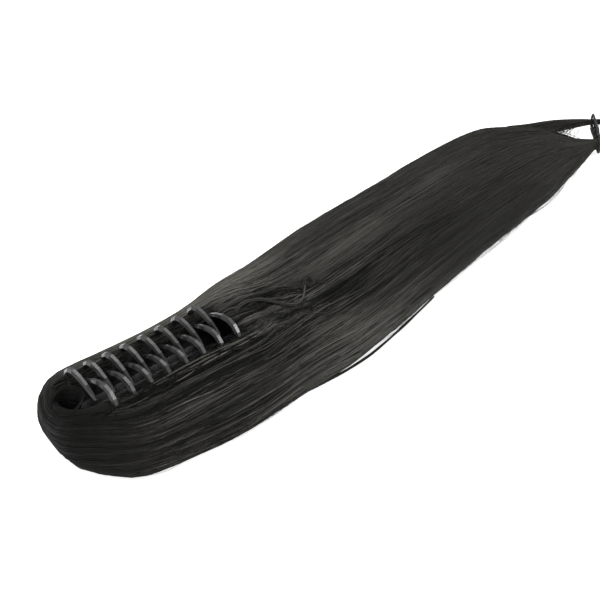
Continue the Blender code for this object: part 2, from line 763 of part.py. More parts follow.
def closing_spring(collection):
    """Plain coil round the pin, between the inner knuckles."""
    data = bpy.data.curves.new("closing_spring", "CURVE")
    data.dimensions = "3D"
    data.bevel_depth = SPRING_WIRE_RADIUS
    data.bevel_resolution = 1
    data.use_fill_caps = True
    spline = data.splines.new("POLY")
    steps_per_turn = 8
    count = SPRING_TURNS * steps_per_turn + 1
    spline.points.add(count - 1)
    reach = 0.5 * SPRING_SPACE - SPRING_WIRE_RADIUS - PART_GAP
    for index in range(count):
        share = index / (count - 1)
        angle = 2 * math.pi * index / steps_per_turn
        x = CLAW_MIDDLE - reach + 2 * reach * share
        y = SPRING_RADIUS * math.cos(angle)
        z = HINGE_HEIGHT + SPRING_RADIUS * math.sin(angle)
        spline.points[index].co = (x, y, z, 1.0)
    coil = curve_to_mesh(add_object("closing_spring", data, collection), collection)
    coil.name = "closing_spring"
    return coil


def end_tie(collection):
    """Thin flat loop round both bundles at the end of the tail."""
    data = bpy.data.curves.new("end_tie", "CURVE")
    data.dimensions = "3D"
    data.bevel_depth = TIE_WIRE_RADIUS
    data.bevel_resolution = 1
    spline = data.splines.new("POLY")
    bend_steps = 8
    middle, along_tie, _ = tie_place(0.0)
    points = []
    for end in (1, -1):
        for step in range(bend_steps + 1):
            angle = -0.5 * math.pi + math.pi * step / bend_steps
            across = end * (TIE_BUNDLE_REACH + TIE_BEND_RADIUS * math.cos(angle))
            rise = end * TIE_BEND_RADIUS * math.sin(angle)
            points.append(middle + along_tie * across + Vector((0.0, 0.0, rise)))
    spline.points.add(len(points) - 1)
    for target, point in zip(spline.points, points):
        target.co = (*point, 1.0)
    spline.use_cyclic_u = True
    loop = curve_to_mesh(add_object("end_tie", data, collection), collection)
    loop.name = "end_tie"
    return loop


def claw_space(cutters):
    """Space that the hair leaves for the claw, its mouth and the hollow in front of it."""
    offset = 0.5 * SHELL_THICKNESS + PART_GAP
    mouth_half = RIM_HALF_WIDTH + TOOTH_RADIUS + PART_GAP
    mouth_low = RIM_HEIGHT - TOOTH_ROOT_DEPTH - 2 * PART_GAP
    far_side = [point for point in shell_outline(SIDE_FAR, offset) if point[1] < mouth_low]
    far_side += [(mouth_half, mouth_low), (mouth_half, OUTSIDE)]
    near_side = [(-y, z) for y, z in reversed(far_side)]
    start = CLAW_START - PART_GAP
    end = CLAW_END + PART_GAP
    space = prism_along_x("claw_space", far_side + near_side, start, end, cutters)
    pieces = [
        rod_along_x("hinge_space", start, end, KNUCKLE_RADIUS + 2 * PART_GAP, 16, cutters),
        finger_grip(SIDE_NEAR, cutters, PART_GAP),
        finger_grip(SIDE_FAR, cutters, PART_GAP),
    ]
    flare = HOLLOW_FLARE / (RIM_HEIGHT - HOLLOW_FLOOR)
    top = 2.0 * RIM_HEIGHT
    bm = bmesh.new()
    bmesh.ops.create_cone(
        bm, cap_ends=True, segments=18, radius1=HOLLOW_RADIUS - HOLLOW_FLARE,
        radius2=HOLLOW_RADIUS + flare * (top - RIM_HEIGHT), depth=top - HOLLOW_FLOOR,
    )
    bmesh.ops.translate(bm, verts=bm.verts, vec=(HOLLOW_X, HOLLOW_Y, 0.5 * (top + HOLLOW_FLOOR)))
    pieces.append(bmesh_object("hollow", bm, cutters))
    return as_cutter(fuse(space, pieces))


def hair_cutters(cutters):
    """Blocks that part the hair: far half and near half of the head, and the tail."""
    half_gap = 0.5 * PART_GAP
    far = box("far_half", (-OUTSIDE, half_gap, -OUTSIDE), (HEAD_END, OUTSIDE, OUTSIDE), cutters)
    slope = OPENING_ANGLE + OPENING_SPARE
    near_outline = [
        (-half_gap, OUTSIDE),
        (-half_gap, HINGE_HEIGHT),
        (-OUTSIDE * math.sin(slope), HINGE_HEIGHT - OUTSIDE * math.cos(slope)),
        (-OUTSIDE, OUTSIDE),
    ]
    near = prism_along_x("near_half", near_outline, -OUTSIDE, HEAD_END, cutters)
    tail = box("tail_half", (HEAD_END + PART_GAP, -OUTSIDE, -OUTSIDE), (OUTSIDE, OUTSIDE, OUTSIDE), cutters)
    return as_cutter(far), as_cutter(near), as_cutter(tail)


def make_hair(parts, cutters, material):
    """Core and locks fused into one form, hollowed for the claw and parted into its three pieces."""
    whole = hair_core(parts)
    fuse(whole, [surface_lock(index, row, parts) for index, row in enumerate(SURFACE_LOCKS)])
    fuse(whole, [thin_bundle(parts)])
    fuse(whole, [tuft_lock(row, parts) for row in TUFT_LOCKS] + [curl_lock(parts)])
    boolean(whole, claw_space(cutters), "DIFFERENCE")
    pieces = []
    for name, cutter in zip(("far_hair", "near_hair", "tail_hair"), hair_cutters(cutters)):
        piece = add_object(name, whole.data.copy(), parts, material)
        boolean(piece, cutter, "INTERSECT")
        piece.data.name = name
        pieces.append(piece)
    bpy.data.objects.remove(whole, do_unlink=True)
    return pieces


def shade(item, material):
    item.data.materials.clear()
    item.data.materials.append(material)
    item.data.shade_smooth()
    item.data.set_sharp_from_angle(angle=math.radians(40.0))


def place_model(items, moving):
    """Put the origin under the middle of the model's box, with the moving pieces on the hinge."""
    bpy.context.view_layer.update()
    corners = [item.matrix_world @ vertex.co for item in items for vertex in item.data.vertices]
    low = Vector([min(corner[axis] for corner in corners) for axis in range(3)])
    high = Vector([max(corner[axis] for corner in corners) for axis in range(3)])
    shift = Vector((-0.5 * (low.x + high.x), -0.5 * (low.y + high.y), -low.z))
    origin = bpy.data.objects.new("hairpiece", None)
    hinge = bpy.data.objects.new("jaw_hinge", None)
    for empty in (origin, hinge):
        bpy.context.scene.collection.objects.link(empty)
    origin.location = shift
    hinge.parent = origin
    hinge.location = (CLAW_MIDDLE, 0.0, HINGE_HEIGHT)
    for item in items:
        if item in moving:
            item.data.transform(Matrix.Translation(-hinge.location))
            item.parent = hinge
        else:
            item.parent = origin
    bpy.context.view_layer.update()
    return shift


def main():
    clear_scene()
    parts = make_collection("Ponytail hairpiece")
    cutters = make_collection("Cutters")
    hair = make_material("dark_hair", (0.022, 0.019, 0.018), 0.42, 0.0)
    plastic = make_material("black_plastic", (0.018, 0.018, 0.019), 0.22, 0.0)
    steel = make_material("plain_steel", (0.55, 0.55, 0.56), 0.35, 1.0)
    band = make_material("black_band", (0.012, 0.012, 0.012), 0.7, 0.0)

    far_hair, near_hair, tail_hair = make_hair(parts, cutters, hair)
    far_jaw = jaw("far_jaw", SIDE_FAR, FIRST_TOOTH_X, parts)
    near_jaw = jaw("near_jaw", SIDE_NEAR, FIRST_TOOTH_X + 0.5 * TOOTH_PITCH, parts)
    pin = hinge_pin(parts)
    spring = closing_spring(parts)
    tie = end_tie(parts)
    for item in (far_hair, near_hair, tail_hair):
        shade(item, hair)
    for item in (far_jaw, near_jaw):
        shade(item, plastic)
    for item in (pin, spring):
        shade(item, steel)
    shade(tie, band)
    items = [far_jaw, near_jaw, pin, spring, far_hair, near_hair, tail_hair, tie]
    shift = place_model(items, (near_jaw, near_hair))
    print("origin moved by", [round(value, 5) for value in shift])
    for item in items:
        print(item.name, "triangles", sum(len(face.vertices) - 2 for face in item.data.polygons))


main()
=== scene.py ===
"""Ponytail hairpiece: the strands, the finishes, the floor, the lights and the camera on the CAD frame."""
import json
import math

import bmesh
import bpy
import numpy as np
from mathutils import Matrix, Vector


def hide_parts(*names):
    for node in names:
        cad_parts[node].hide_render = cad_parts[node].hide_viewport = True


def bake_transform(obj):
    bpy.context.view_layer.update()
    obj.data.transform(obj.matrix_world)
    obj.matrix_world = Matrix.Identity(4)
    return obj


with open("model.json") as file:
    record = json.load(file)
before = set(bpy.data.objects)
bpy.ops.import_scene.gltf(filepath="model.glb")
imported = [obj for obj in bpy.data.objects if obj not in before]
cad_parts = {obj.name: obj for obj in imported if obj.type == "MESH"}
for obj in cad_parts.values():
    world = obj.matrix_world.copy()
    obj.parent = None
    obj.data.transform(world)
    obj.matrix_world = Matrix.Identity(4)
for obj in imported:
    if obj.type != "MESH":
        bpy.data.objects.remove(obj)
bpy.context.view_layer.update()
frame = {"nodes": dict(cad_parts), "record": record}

rng = np.random.default_rng(20)

# Lengths are in millimetres in the claw's own frame: X from the nose to the tail, Y to the far side, Z up,
# with the origin on the surface under the nose's tip. ORIGIN brings them to the world, in metres.
MM = 0.001
HINGE_X = 57.25
HINGE_Z = 10.0
joint = frame["record"]["behaviour"]["joints"][0]
ORIGIN = np.array(joint["pos_m"]) - np.array((HINGE_X, 0.0, HINGE_Z)) * MM
UP = np.array((0.0, 0.0, 1.0))

# The hair's form, as in the part's source
HAIR_LENGTH = 430.0
HAIR_WIDTH = 92.0
HEAD_HEIGHT = 38.0
HEAD_END = 104.8
NOSE_LENGTH = 30.0
NOSE_RISE_LENGTH = 21.0
NOSE_CENTRE_Y = 12.0
NOSE_LIFT = 0.7
OUTER_SHARE = 0.34
SECTION_POWER = 2.3
FLAT_UNDERSIDE = 1.35
PART_GAP = 0.3
TIE_LENGTH = 45.0
TIE_HEIGHT = 12.0
TIE_WIRE_RADIUS = 0.8
TIE_NECK = 3.0
TIE_FORWARD = 44.5
TIE_ASIDE = 18.5
TIE_HEADING = math.radians(-46.0)
TIE_BEND_RADIUS = 0.5 * TIE_HEIGHT - TIE_WIRE_RADIUS
TIE_BUNDLE_REACH = 0.5 * TIE_LENGTH - TIE_WIRE_RADIUS - TIE_BEND_RADIUS
BUNDLE_FIT = 0.95
THICK_BUNDLE_RADIUS = (TIE_BEND_RADIUS - TIE_WIRE_RADIUS - PART_GAP) * BUNDLE_FIT
THIN_BUNDLE_RADIUS = 1.8
THIN_BUNDLE_SWELL = 6.0
THIN_BUNDLE_START = 0.93
THIN_BUNDLE_RISE = 0.3
THIN_BUNDLE_INSET = 0.3
EDGE_PULL = 0.3
GAP_PULL = 0.32
HAIR_SECTIONS = np.array((
    # along, near x, near y, far x, far y, high
    (0.000, 0.000, -0.420, 0.000, 0.430, 1.00),
    (0.140, 0.140, -0.510, 0.140, 0.388, 1.00),
    (0.220, 0.220, -0.525, 0.220, 0.405, 1.00),
    (0.290, 0.290, -0.520, 0.290, 0.485, 0.97),
    (0.365, 0.365, -0.505, 0.365, 0.550, 0.87),
    (0.455, 0.455, -0.418, 0.455, 0.665, 0.74),
    (0.550, 0.550, -0.310, 0.550, 0.735, 0.65),
    (0.640, 0.640, -0.225, 0.640, 0.785, 0.57),
    (0.730, 0.730, -0.155, 0.730, 0.855, 0.49),
    (0.830, 0.805, -0.100, 0.850, 0.900, 0.42),
    (0.900, 0.862, -0.045, 0.915, 0.885, 0.36),
    (0.955, 0.905, 0.020, 0.957, 0.770, 0.31),
    (1.000, 0.942, 0.060, 0.993, 0.650, 0.26),
))


# The hair's form

def smooth_column(column, along):
    """Smooth curve through a column of the sections."""
    places, values = HAIR_SECTIONS[:, 0], HAIR_SECTIONS[:, column]
    last = len(places) - 1
    before = np.maximum(np.arange(last + 1) - 1, 0)
    after = np.minimum(np.arange(last + 1) + 1, last)
    slopes = (values[after] - values[before]) / (places[after] - places[before])
    index = np.clip(np.searchsorted(places, along, side="right") - 1, 0, last - 1)
    step = places[index + 1] - places[index]
    share = np.clip((along - places[index]) / step, 0.0, 1.0)
    square, cube = share ** 2, share ** 3
    return (
        (2 * cube - 3 * square + 1) * values[index] + (cube - 2 * square + share) * step * slopes[index]
        + (3 * square - 2 * cube) * values[index + 1] + (cube - square) * step * slopes[index + 1]
    )


def fullness(along, length):
    """How far the form has opened from the nose's tip, 0 to 1, over a length."""
    rest = 1.0 - np.clip(along * HAIR_LENGTH / length, 0.0, 1.0)
    return (1.0 - rest ** SECTION_POWER) ** (1.0 / SECTION_POWER)


def points_of(x, y, z):
    return np.stack(np.broadcast_arrays(x, y, z), axis=-1).astype(float)


def mix(start, end, share):
    """What lies at a share of the way from start to end."""
    return start + (end - start) * share


def unit(vectors, least=1e-9):
    return vectors / np.maximum(np.linalg.norm(vectors, axis=-1, keepdims=True), least)


def smooth_step(share):
    return share * share * (3 - 2 * share)


def hair_frame(along):
    """Near edge, far edge, lowest and highest level, and roundness, at shares of the hair's length."""
    near_x, near_y, far_x, far_y, high = (smooth_column(column, along) for column in range(1, 6))
    wide = fullness(along, NOSE_LENGTH)
    near_y = mix(NOSE_CENTRE_Y, near_y * HAIR_WIDTH, wide)
    far_y = mix(NOSE_CENTRE_Y, far_y * HAIR_WIDTH, wide)
    risen = fullness(along, NOSE_RISE_LENGTH)
    high = high * HEAD_HEIGHT
    waist = OUTER_SHARE * high
    low = waist * (1.0 - risen) * NOSE_LIFT
    high = mix(waist, high, risen)
    near = points_of(near_x * HAIR_LENGTH, near_y, 0.0)
    far = points_of(far_x * HAIR_LENGTH, far_y, 0.0)
    return near, far, low, high, np.zeros_like(high)


def tie_place(across):
    """Point at a distance from the middle of the tie, with the tie's and the hair's directions there."""
    near = hair_frame(np.array(1.0))[0]
    forward = np.array((math.cos(TIE_HEADING), math.sin(TIE_HEADING), 0.0))
    along_tie = np.array((-forward[1], forward[0], 0.0))
    middle = near + (TIE_FORWARD, TIE_ASIDE, PART_GAP + 0.5 * TIE_HEIGHT)
    return middle + along_tie * across, along_tie, forward


def bend(start, leaving, arriving, end, share):
    """Points on the curve that leaves the start and arrives at the end along two given pulls."""
    share = np.asarray(share, float)[..., None]
    rest = 1.0 - share
    return (
        start * rest ** 3 + (start + leaving) * 3 * rest ** 2 * share
        + (end - arriving) * 3 * rest * share ** 2 + end * share ** 3
    )


def bundle_frame(past, width=1.0):
    """Frame of the thick bundle at distances past the tie."""
    middle, along_tie, forward = tie_place(-TIE_BUNDLE_REACH)
    radius = THICK_BUNDLE_RADIUS * np.asarray(width, float)
    centre = np.array((middle[0], middle[1], 0.0)) + forward * np.asarray(past, float)[..., None]
    side = along_tie * radius[..., None]
    one = np.ones_like(np.asarray(past, float))
    return centre - side, centre + side, (middle[2] - radius) * one, (middle[2] + radius) * one, one


def closing_frame(share):
    """Frames between the last section, at 0, and the thick bundle just before the tie, at 1."""
    near, far, _, high, _ = hair_frame(np.array(1.0))
    last_near, last_far, last_low, last_high, _ = bundle_frame(np.array(-TIE_NECK))
    forward = tie_place(0.0)[2]
    reach = np.linalg.norm(last_near - near)
    onwards = near - hair_frame(np.array(0.98))[0]
    onwards = onwards / np.linalg.norm(onwards) * reach * EDGE_PULL
    edge = bend(near, onwards, onwards, last_near, share)
    other = bend(far, (near - far) * GAP_PULL, forward * reach * EDGE_PULL, last_far, share)
    return edge, other, last_low * share ** 2, mix(high, last_high, share), share


# Past the tie: the length of a step of one in place, and how much wider the bundle gets over the first step
PAST_TIE_LENGTH = 20.0
PAST_TIE_SWELL = 0.25


def frame_at(place):
    """Frames at places: 0 to 1 along the hair, 1 to 2 on the way to the tie, and past it after 2."""
    place = np.asarray(place, float)
    body = hair_frame(np.clip(place, 0.0, 1.0))
    closing = closing_frame(np.clip(place - 1.0, 0.0, 1.0))
    past = np.clip(place - 2.0, 0.0, None) * PAST_TIE_LENGTH - TIE_NECK
    swell = 1.0 + PAST_TIE_SWELL * np.clip(place - 2.0, 0.0, 1.0)
    bundle = bundle_frame(past, swell)
    frames = []
    for parts in zip(body, closing, bundle):
        spread = place[..., None] if parts[0].ndim > place.ndim else place
        frames.append(np.where(spread <= 1.0, parts[0], np.where(spread <= 2.0, parts[1], parts[2])))
    return frames


def section_point(place, side):
    """Points on the form. Side 0 to 1 goes over the top from the near edge, and beyond that underneath."""
    near, far, low, high, round_share = frame_at(place)
    waist = mix(low, high, mix(OUTER_SHARE, 0.5, round_share))
    power = mix(SECTION_POWER, 2.0, round_share)
    angle = np.pi * np.asarray(side, float)
    across = -np.sign(np.cos(angle)) * np.abs(np.cos(angle)) ** (2 / power)
    rise = np.abs(np.sin(angle)) ** (2 / power)
    flat = mix(FLAT_UNDERSIDE, 1.0, round_share)
    over = (high - waist) * rise
    under = -(waist - low) * np.minimum(flat * rise, 1.0)
    level = waist + np.where(np.sin(angle) >= 0.0, over, under)
    point = 0.5 * (near + far) + 0.5 * (far - near) * across[..., None]
    point[..., 2] = level
    return point


NORMAL_STEP = 0.004


def hair_surface(place, side, lift):
    """Points at a lift over the form, measured along its normal."""
    here = section_point(place, side)
    before = section_point(np.maximum(place - NORMAL_STEP, 0.0), side)
    ahead = section_point(place + NORMAL_STEP, side) - before
    over = section_point(place, side + NORMAL_STEP) - section_point(place, side - NORMAL_STEP)
    return here + unit(np.cross(ahead, over)) * np.asarray(lift, float)[..., None]


def hair_top(x, y):
    """Height of the form over points of the head, where its sections stand across X."""
    near, far, _, high, _ = hair_frame(np.asarray(x, float) / HAIR_LENGTH)
    half = 0.5 * (far[..., 1] - near[..., 1])
    across = np.abs(y - 0.5 * (near[..., 1] + far[..., 1])) / np.maximum(half, 1e-6)
    waist = OUTER_SHARE * smooth_column(5, np.asarray(x, float) / HAIR_LENGTH) * HEAD_HEIGHT
    return mix(waist, high, (1.0 - np.minimum(across, 1.0) ** SECTION_POWER) ** (1 / SECTION_POWER))


# Strand meshes

def strand_shares(stations):
    """Shares of the way along a strand, as a row."""
    return np.linspace(0.0, 1.0, stations)[None, :]


def per_strand(count, low, high):
    """A random number for each strand, as a column."""
    return rng.uniform(low, high, count)[:, None]


def smooth_noise(count, stations, waves):
    """Smooth random curves, one a row, each within about -1 to 1, with a number of waves along them."""
    knots = max(int(waves) + 3, 4)
    values = rng.normal(0.0, 0.5, (count, knots + 1))
    at = np.linspace(0.0, waves, stations)[None, :] + rng.uniform(0.0, 1.0, (count, 1))
    index = np.clip(at.astype(int), 0, knots - 1)
    share = smooth_step(at - index)
    rows = np.arange(count)[:, None]
    return values[rows, index] * (1 - share) + values[rows, index + 1] * share


def axes_across(ahead):
    """Unit vectors sideways and upwards of the ones ahead."""
    sideways = unit(np.cross(UP, ahead), 1e-6)
    return sideways, np.cross(ahead, sideways)


def strand_geometry(paths, radii, tones):
    """Closed three-sided strands. Paths is (strands, stations, 3). Tones has one a strand or a station."""
    count, stations, _ = paths.shape
    ahead = np.empty_like(paths)
    ahead[:, 1:-1] = paths[:, 2:] - paths[:, :-2]
    ahead[:, 0] = paths[:, 1] - paths[:, 0]
    ahead[:, -1] = paths[:, -1] - paths[:, -2]
    sideways, upwards = axes_across(unit(ahead))
    turn = rng.uniform(0.0, 2 * np.pi, (count, 1, 1))
    corners = []
    for corner in range(3):
        angle = turn + 2 * np.pi * corner / 3
        offset = sideways * np.cos(angle) + upwards * np.sin(angle)
        corners.append(paths + offset * radii[..., None])
    verts = np.stack(corners, axis=2).reshape(-1, 3)
    strand = np.arange(count)[:, None, None] * stations * 3
    station = np.arange(stations - 1)[None, :, None] * 3
    corner = np.arange(3)[None, None, :]
    after = (corner + 1) % 3
    start = strand + station
    sides = (start + corner, start + after, start + 3 + after, start + 3 + corner)
    quads = np.stack(sides, axis=-1).reshape(-1, 4)
    first = (np.arange(count) * stations * 3)[:, None]
    caps = np.concatenate([first + (2, 1, 0), first + (stations - 1) * 3 + (0, 1, 2)])
    tones = np.broadcast_to(tones if tones.ndim == 2 else tones[:, None], (count, stations))
    return verts, quads, caps, np.repeat(tones.ravel(), 3)


def strand_piece(name, *parts):
    """One mesh of the strands of several parts, with each strand's tone as an attribute."""
    built = [strand_geometry(*part) for part in parts]
    firsts = np.concatenate([[0], np.cumsum([len(verts) for verts, _, _, _ in built])[:-1]])
    verts = np.concatenate([part[0] for part in built])
    quads = np.concatenate([part[1] + first for part, first in zip(built, firsts)])
    caps = np.concatenate([part[2] + first for part, first in zip(built, firsts)])
    tones = np.concatenate([part[3] for part in built])
    loops = np.concatenate([quads.ravel(), caps.ravel()])
    sizes = np.concatenate([np.full(len(quads), 4), np.full(len(caps), 3)])
    starts = np.concatenate([[0], np.cumsum(sizes)[:-1]])
    data = bpy.data.meshes.new(name)
    data.vertices.add(len(verts))
    data.vertices.foreach_set("co", (verts * MM + ORIGIN).astype(np.float32).ravel())
    data.loops.add(len(loops))
    data.loops.foreach_set("vertex_index", loops.astype(np.int32))
    data.polygons.add(len(sizes))
    data.polygons.foreach_set("loop_start", starts.astype(np.int32))
    data.polygons.foreach_set("use_smooth", np.ones(len(sizes), bool))
    tone = data.attributes.new("tone", "FLOAT", "POINT")
    tone.data.foreach_set("value", np.clip(tones, 0.0, 1.0).astype(np.float32))
    data.update(calc_edges=True)
    data.validate()
    item = bpy.data.objects.new(name, data)
    bpy.context.scene.collection.objects.link(item)
    data.materials.append(hair_material)
    return item


THINNEST = 0.3


def tapered(count, stations, radius, start=0.15, end=0.15):
    """Radii, random within a range, that thin out over a share of each strand's start and end."""
    share = strand_shares(stations)
    shape = np.minimum(1.0, np.minimum(share / start, (1 - share) / end))
    return per_strand(count, *radius) * mix(THINNEST, 1, shape)


# Finishes

class Finish:
    """A material whose Principled BSDF takes fixed values and is varied by other nodes."""

    def __init__(self, name, values):
        self.material = bpy.data.materials.new(name)
        self.material.use_nodes = True
        self.body = self.material.node_tree.nodes["Principled BSDF"]
        self.fill(self.body, values)

    def fill(self, node, values):
        for name, value in values.items():
            node.inputs[name].default_value = value

    def add(self, kind, values):
        node = self.material.node_tree.nodes.new(kind)
        self.fill(node, values)
        return node

    def link(self, source, output, target, entry):
        self.material.node_tree.links.new(source.outputs[output], target.inputs[entry])

    def noise(self, scale, detail, stretch=(1.0, 1.0, 1.0)):
        """Noise on the object's own coordinates. Stretch is a further scale for each axis."""
        places = self.add("ShaderNodeTexCoord", {})
        mapping = self.add("ShaderNodeMapping", {"Scale": stretch})
        noise = self.add("ShaderNodeTexNoise", {"Scale": scale, "Detail": detail})
        self.link(places, "Object", mapping, "Vector")
        self.link(mapping, "Vector", noise, "Vector")
        return noise

    def colour_by(self, source, stops):
        """Colours the surface by a ramp over the source, through stops of a place and a colour."""
        colours = self.add("ShaderNodeValToRGB", {})
        elements = colours.color_ramp.elements
        elements[0].position, elements[0].color = stops[0][0], (*stops[0][1], 1.0)
        elements[1].position, elements[1].color = stops[-1][0], (*stops[-1][1], 1.0)
        for place, colour in stops[1:-1]:
            elements.new(place).color = (*colour, 1.0)
        self.link(source, "Fac", colours, "Fac")
        self.link(colours, "Color", self.body, "Base Color")

    def roughen_by(self, source, low, high):
        rough = self.add("ShaderNodeMapRange", {"To Min": low, "To Max": high})
        self.link(source, "Fac", rough, "Value")
        self.link(rough, "Result", self.body, "Roughness")

    def bump_by(self, source, strength, distance):
        bump = self.add("ShaderNodeBump", {"Strength": strength, "Distance": distance})
        self.link(source, "Fac", bump, "Height")
        self.link(bump, "Normal", self.body, "Normal")


def make_hair_material():
    """Near-black hair. Each strand has a tone, its own mixed with painted light and shade, and the gloss
    breaks up along it.
    """
    finish = Finish("dark_hair", {"Specular IOR Level": 0.10})
    tone = finish.add("ShaderNodeAttribute", {})
    tone.attribute_name = "tone"
    finish.colour_by(tone, (
        (0.0, (0.0006, 0.0006, 0.0006)), (0.3, (0.0055, 0.0053, 0.0048)),
        (0.6, (0.0260, 0.0252, 0.0222)), (1.0, (0.0900, 0.0875, 0.0770)),
    ))
    finish.roughen_by(finish.noise(1.0, 2.0, stretch=(60.0, 700.0, 700.0)), 0.36, 0.58)
    return finish.material


def make_base_material():
    """The hair underneath, seen between the strands: darker than the strands as painted shade between them,
    with a fine grain along it.
    """
    finish = Finish("hair_under_painted_shade", {"Roughness": 0.6, "Specular IOR Level": 0.06})
    grain = finish.noise(1.0, 4.0, stretch=(25.0, 900.0, 900.0))
    finish.colour_by(grain, ((0.35, (0.0010, 0.0010, 0.0010)), (0.7, (0.0060, 0.0058, 0.0055))))
    finish.bump_by(grain, 0.6, 0.0004)
    return finish.material


def grained(name, dark, light, rough, scale, metallic=0.0, bump_height=0.00002):
    """A moulded or drawn material with a fine mottle in its colour, gloss and surface."""
    finish = Finish(name, {"Metallic": metallic})
    mottle = finish.noise(scale, 5.0)
    finish.colour_by(mottle, ((0.3, dark), (0.7, light)))
    finish.roughen_by(mottle, *rough)
    finish.bump_by(mottle, 0.35, bump_height)
    return finish.material


hair_material = make_hair_material()
base_material = make_base_material()
plastic = grained("black_plastic", (0.010, 0.010, 0.0105), (0.020, 0.020, 0.021), (0.20, 0.32), 260.0)
steel = grained("plain_steel", (0.42, 0.42, 0.43), (0.62, 0.62, 0.63), (0.25, 0.42), 900.0, metallic=1.0)
band = grained(
    "black_band", (0.006, 0.006, 0.006), (0.018, 0.018, 0.018), (0.75, 0.95), 1500.0, bump_height=0.0001,
)


# The form under the strands

BASE_VOXEL = 1.8
BASE_DEPTH = 0.9
BASE_SMOOTHING = 0.5
BASE_SMOOTH_PASSES = 5
# How far from an edge its drawing in reaches
TUCK_REACH = 14.0
# How far the near edge is drawn in, most of all where a loose lock lies beside it
NEAR_TUCK = np.array((
    # x, tuck
    (3.0, 0.0), (10.0, 1.3), (16.0, 3.1), (24.0, 3.6), (34.0, 2.7), (50.0, 2.4), (86.0, 2.3),
    (112.0, 5.0), (168.0, 5.0), (205.0, 2.25), (245.0, 0.0),
))
# The table is read at these distances from each point and averaged, so that the edge has no corners
TUCK_EASE = (-5.0, 0.0, 5.0)
# How far the far edge is drawn in, and the stretch of x over which this ends
FAR_TUCK = 1.4
FAR_TUCK_END = (380.0, 420.0)
# The nose's tip is filled out by this much in x and y, most of all round TIP_Y and below TIP_LEVEL
TIP_SWELL = np.array((-3.8, -1.8))
TIP_Y = -9.0
TIP_HALF_WIDTH = 17.0
TIP_LENGTH = 20.0
TIP_LEVEL = 18.0
TIP_FADE = 16.0


def tucked(points):
    """Draws the edges in and fills out the nose's tip."""
    x, y, z = points[..., 0], points[..., 1], points[..., 2]
    near, far = hair_frame(np.clip(x / HAIR_LENGTH, 0.0, 1.0))[:2]
    near_tuck = sum(np.interp(x + ease, NEAR_TUCK[:, 0], NEAR_TUCK[:, 1]) for ease in TUCK_EASE)
    near_depth = np.clip((y - near[..., 1]) / TUCK_REACH, 0.0, 1.0)
    far_tuck = FAR_TUCK * np.interp(x, FAR_TUCK_END, (1.0, 0.0))
    far_depth = np.clip((far[..., 1] - y) / TUCK_REACH, 0.0, 1.0)
    moved = np.array(points, float)
    moved[..., 1] += near_tuck / len(TUCK_EASE) * (1.0 - near_depth) ** 2
    moved[..., 1] -= far_tuck * (1.0 - far_depth) ** 2
    at_tip = np.exp(-((y - TIP_Y) / TIP_HALF_WIDTH) ** 2) * (1.0 - np.clip(x / TIP_LENGTH, 0.0, 1.0)) ** 2
    low_down = 1.0 - np.clip((z - TIP_LEVEL) / TIP_FADE, 0.0, 1.0)
    moved[..., :2] += TIP_SWELL * (at_tip * low_down)[..., None]
    return moved


def make_base():
    """The three solids of the hair as one smooth form."""
    bm = bmesh.new()
    for node in ("far_hair", "near_hair", "tail_hair"):
        bm.from_mesh(frame["nodes"][node].data)
    data = bpy.data.meshes.new("hair_base")
    bm.to_mesh(data)
    bm.free()
    item = bpy.data.objects.new("hair_base", data)
    bpy.context.scene.collection.objects.link(item)
    remesh = item.modifiers.new("remesh", "REMESH")
    remesh.mode = "VOXEL"
    remesh.voxel_size = BASE_VOXEL * MM
    smooth = item.modifiers.new("smooth", "SMOOTH")
    smooth.factor = BASE_SMOOTHING
    smooth.iterations = BASE_SMOOTH_PASSES
    shrink = item.modifiers.new("shrink", "DISPLACE")
    shrink.strength = -BASE_DEPTH * MM
    shrink.mid_level = 0.0
    evaluated = item.evaluated_get(bpy.context.evaluated_depsgraph_get())
    baked = bpy.data.meshes.new_from_object(evaluated)
    item.modifiers.clear()
    item.data = baked
    bpy.data.meshes.remove(data)
    baked.name = "hair_base"
    baked.materials.clear()
    baked.materials.append(base_material)
    baked.shade_smooth()
    coords = np.empty(len(baked.vertices) * 3, np.float32)
    baked.vertices.foreach_get("co", coords)
    points = (coords.reshape(-1, 3) - ORIGIN) / MM
    baked.vertices.foreach_set("co", (tucked(points) * MM + ORIGIN).astype(np.float32).ravel())
    return item


base = make_base()


# The strands

# Distance from the claw's middle plane at which the hair stops beside the claw
MOUTH_LIMIT = 12.5
# Where the hair starts to close behind the claw, and the length that it takes
CLOSING_X = 99.0
CLOSING_LENGTH = 45.0
# Side of the form where the lowest strands lie, a little under its edge
LOWEST_SIDE = -0.13
# How far the middle of a layer of strands lies under the form, so that the strands cover it closely
LAYER_DEPTH = 0.3
NOSE_LAYER_DEPTH = 0.35
# Least height of the strands over the floor
FLOOR_GAP = 0.4
LOCK_FLOOR_GAP = 0.3
# Length that a turn of one radian counts as, where stations are chosen
TURN_LENGTH = 14.0
# How far the hair turns down beside the claw's mouth, over the last share of the way to it
RIM_DROP = 2.6
RIM_START = 0.93
RIM_SHARE = 0.07
NOSE_TURNS = np.linspace(90.0, -90.0, 45)
# Side of the form that the rim of the hollow has round the nose
NOSE_RIM = np.array((
    # turn in degrees, side
    (-90.0, 0.452), (-60.0, 0.430), (-40.0, 0.385), (-30.0, 0.335), (-20.0, 0.280), (-10.0, 0.215),
    (0.0, 0.185), (10.0, 0.215), (20.0, 0.250), (30.0, 0.280), (45.0, 0.315), (60.0, 0.345), (90.0, 0.381),
))
# How much the tones of the locks differ from TONE_LEVEL along the hair
TONE_LEVEL = 0.42
TONE_CONTRAST = np.array((
    # x, contrast
    (8.0, 0.2), (20.0, 0.5), (36.0, 1.4), (130.0, 1.5), (190.0, 0.9), (260.0, 0.6),
))
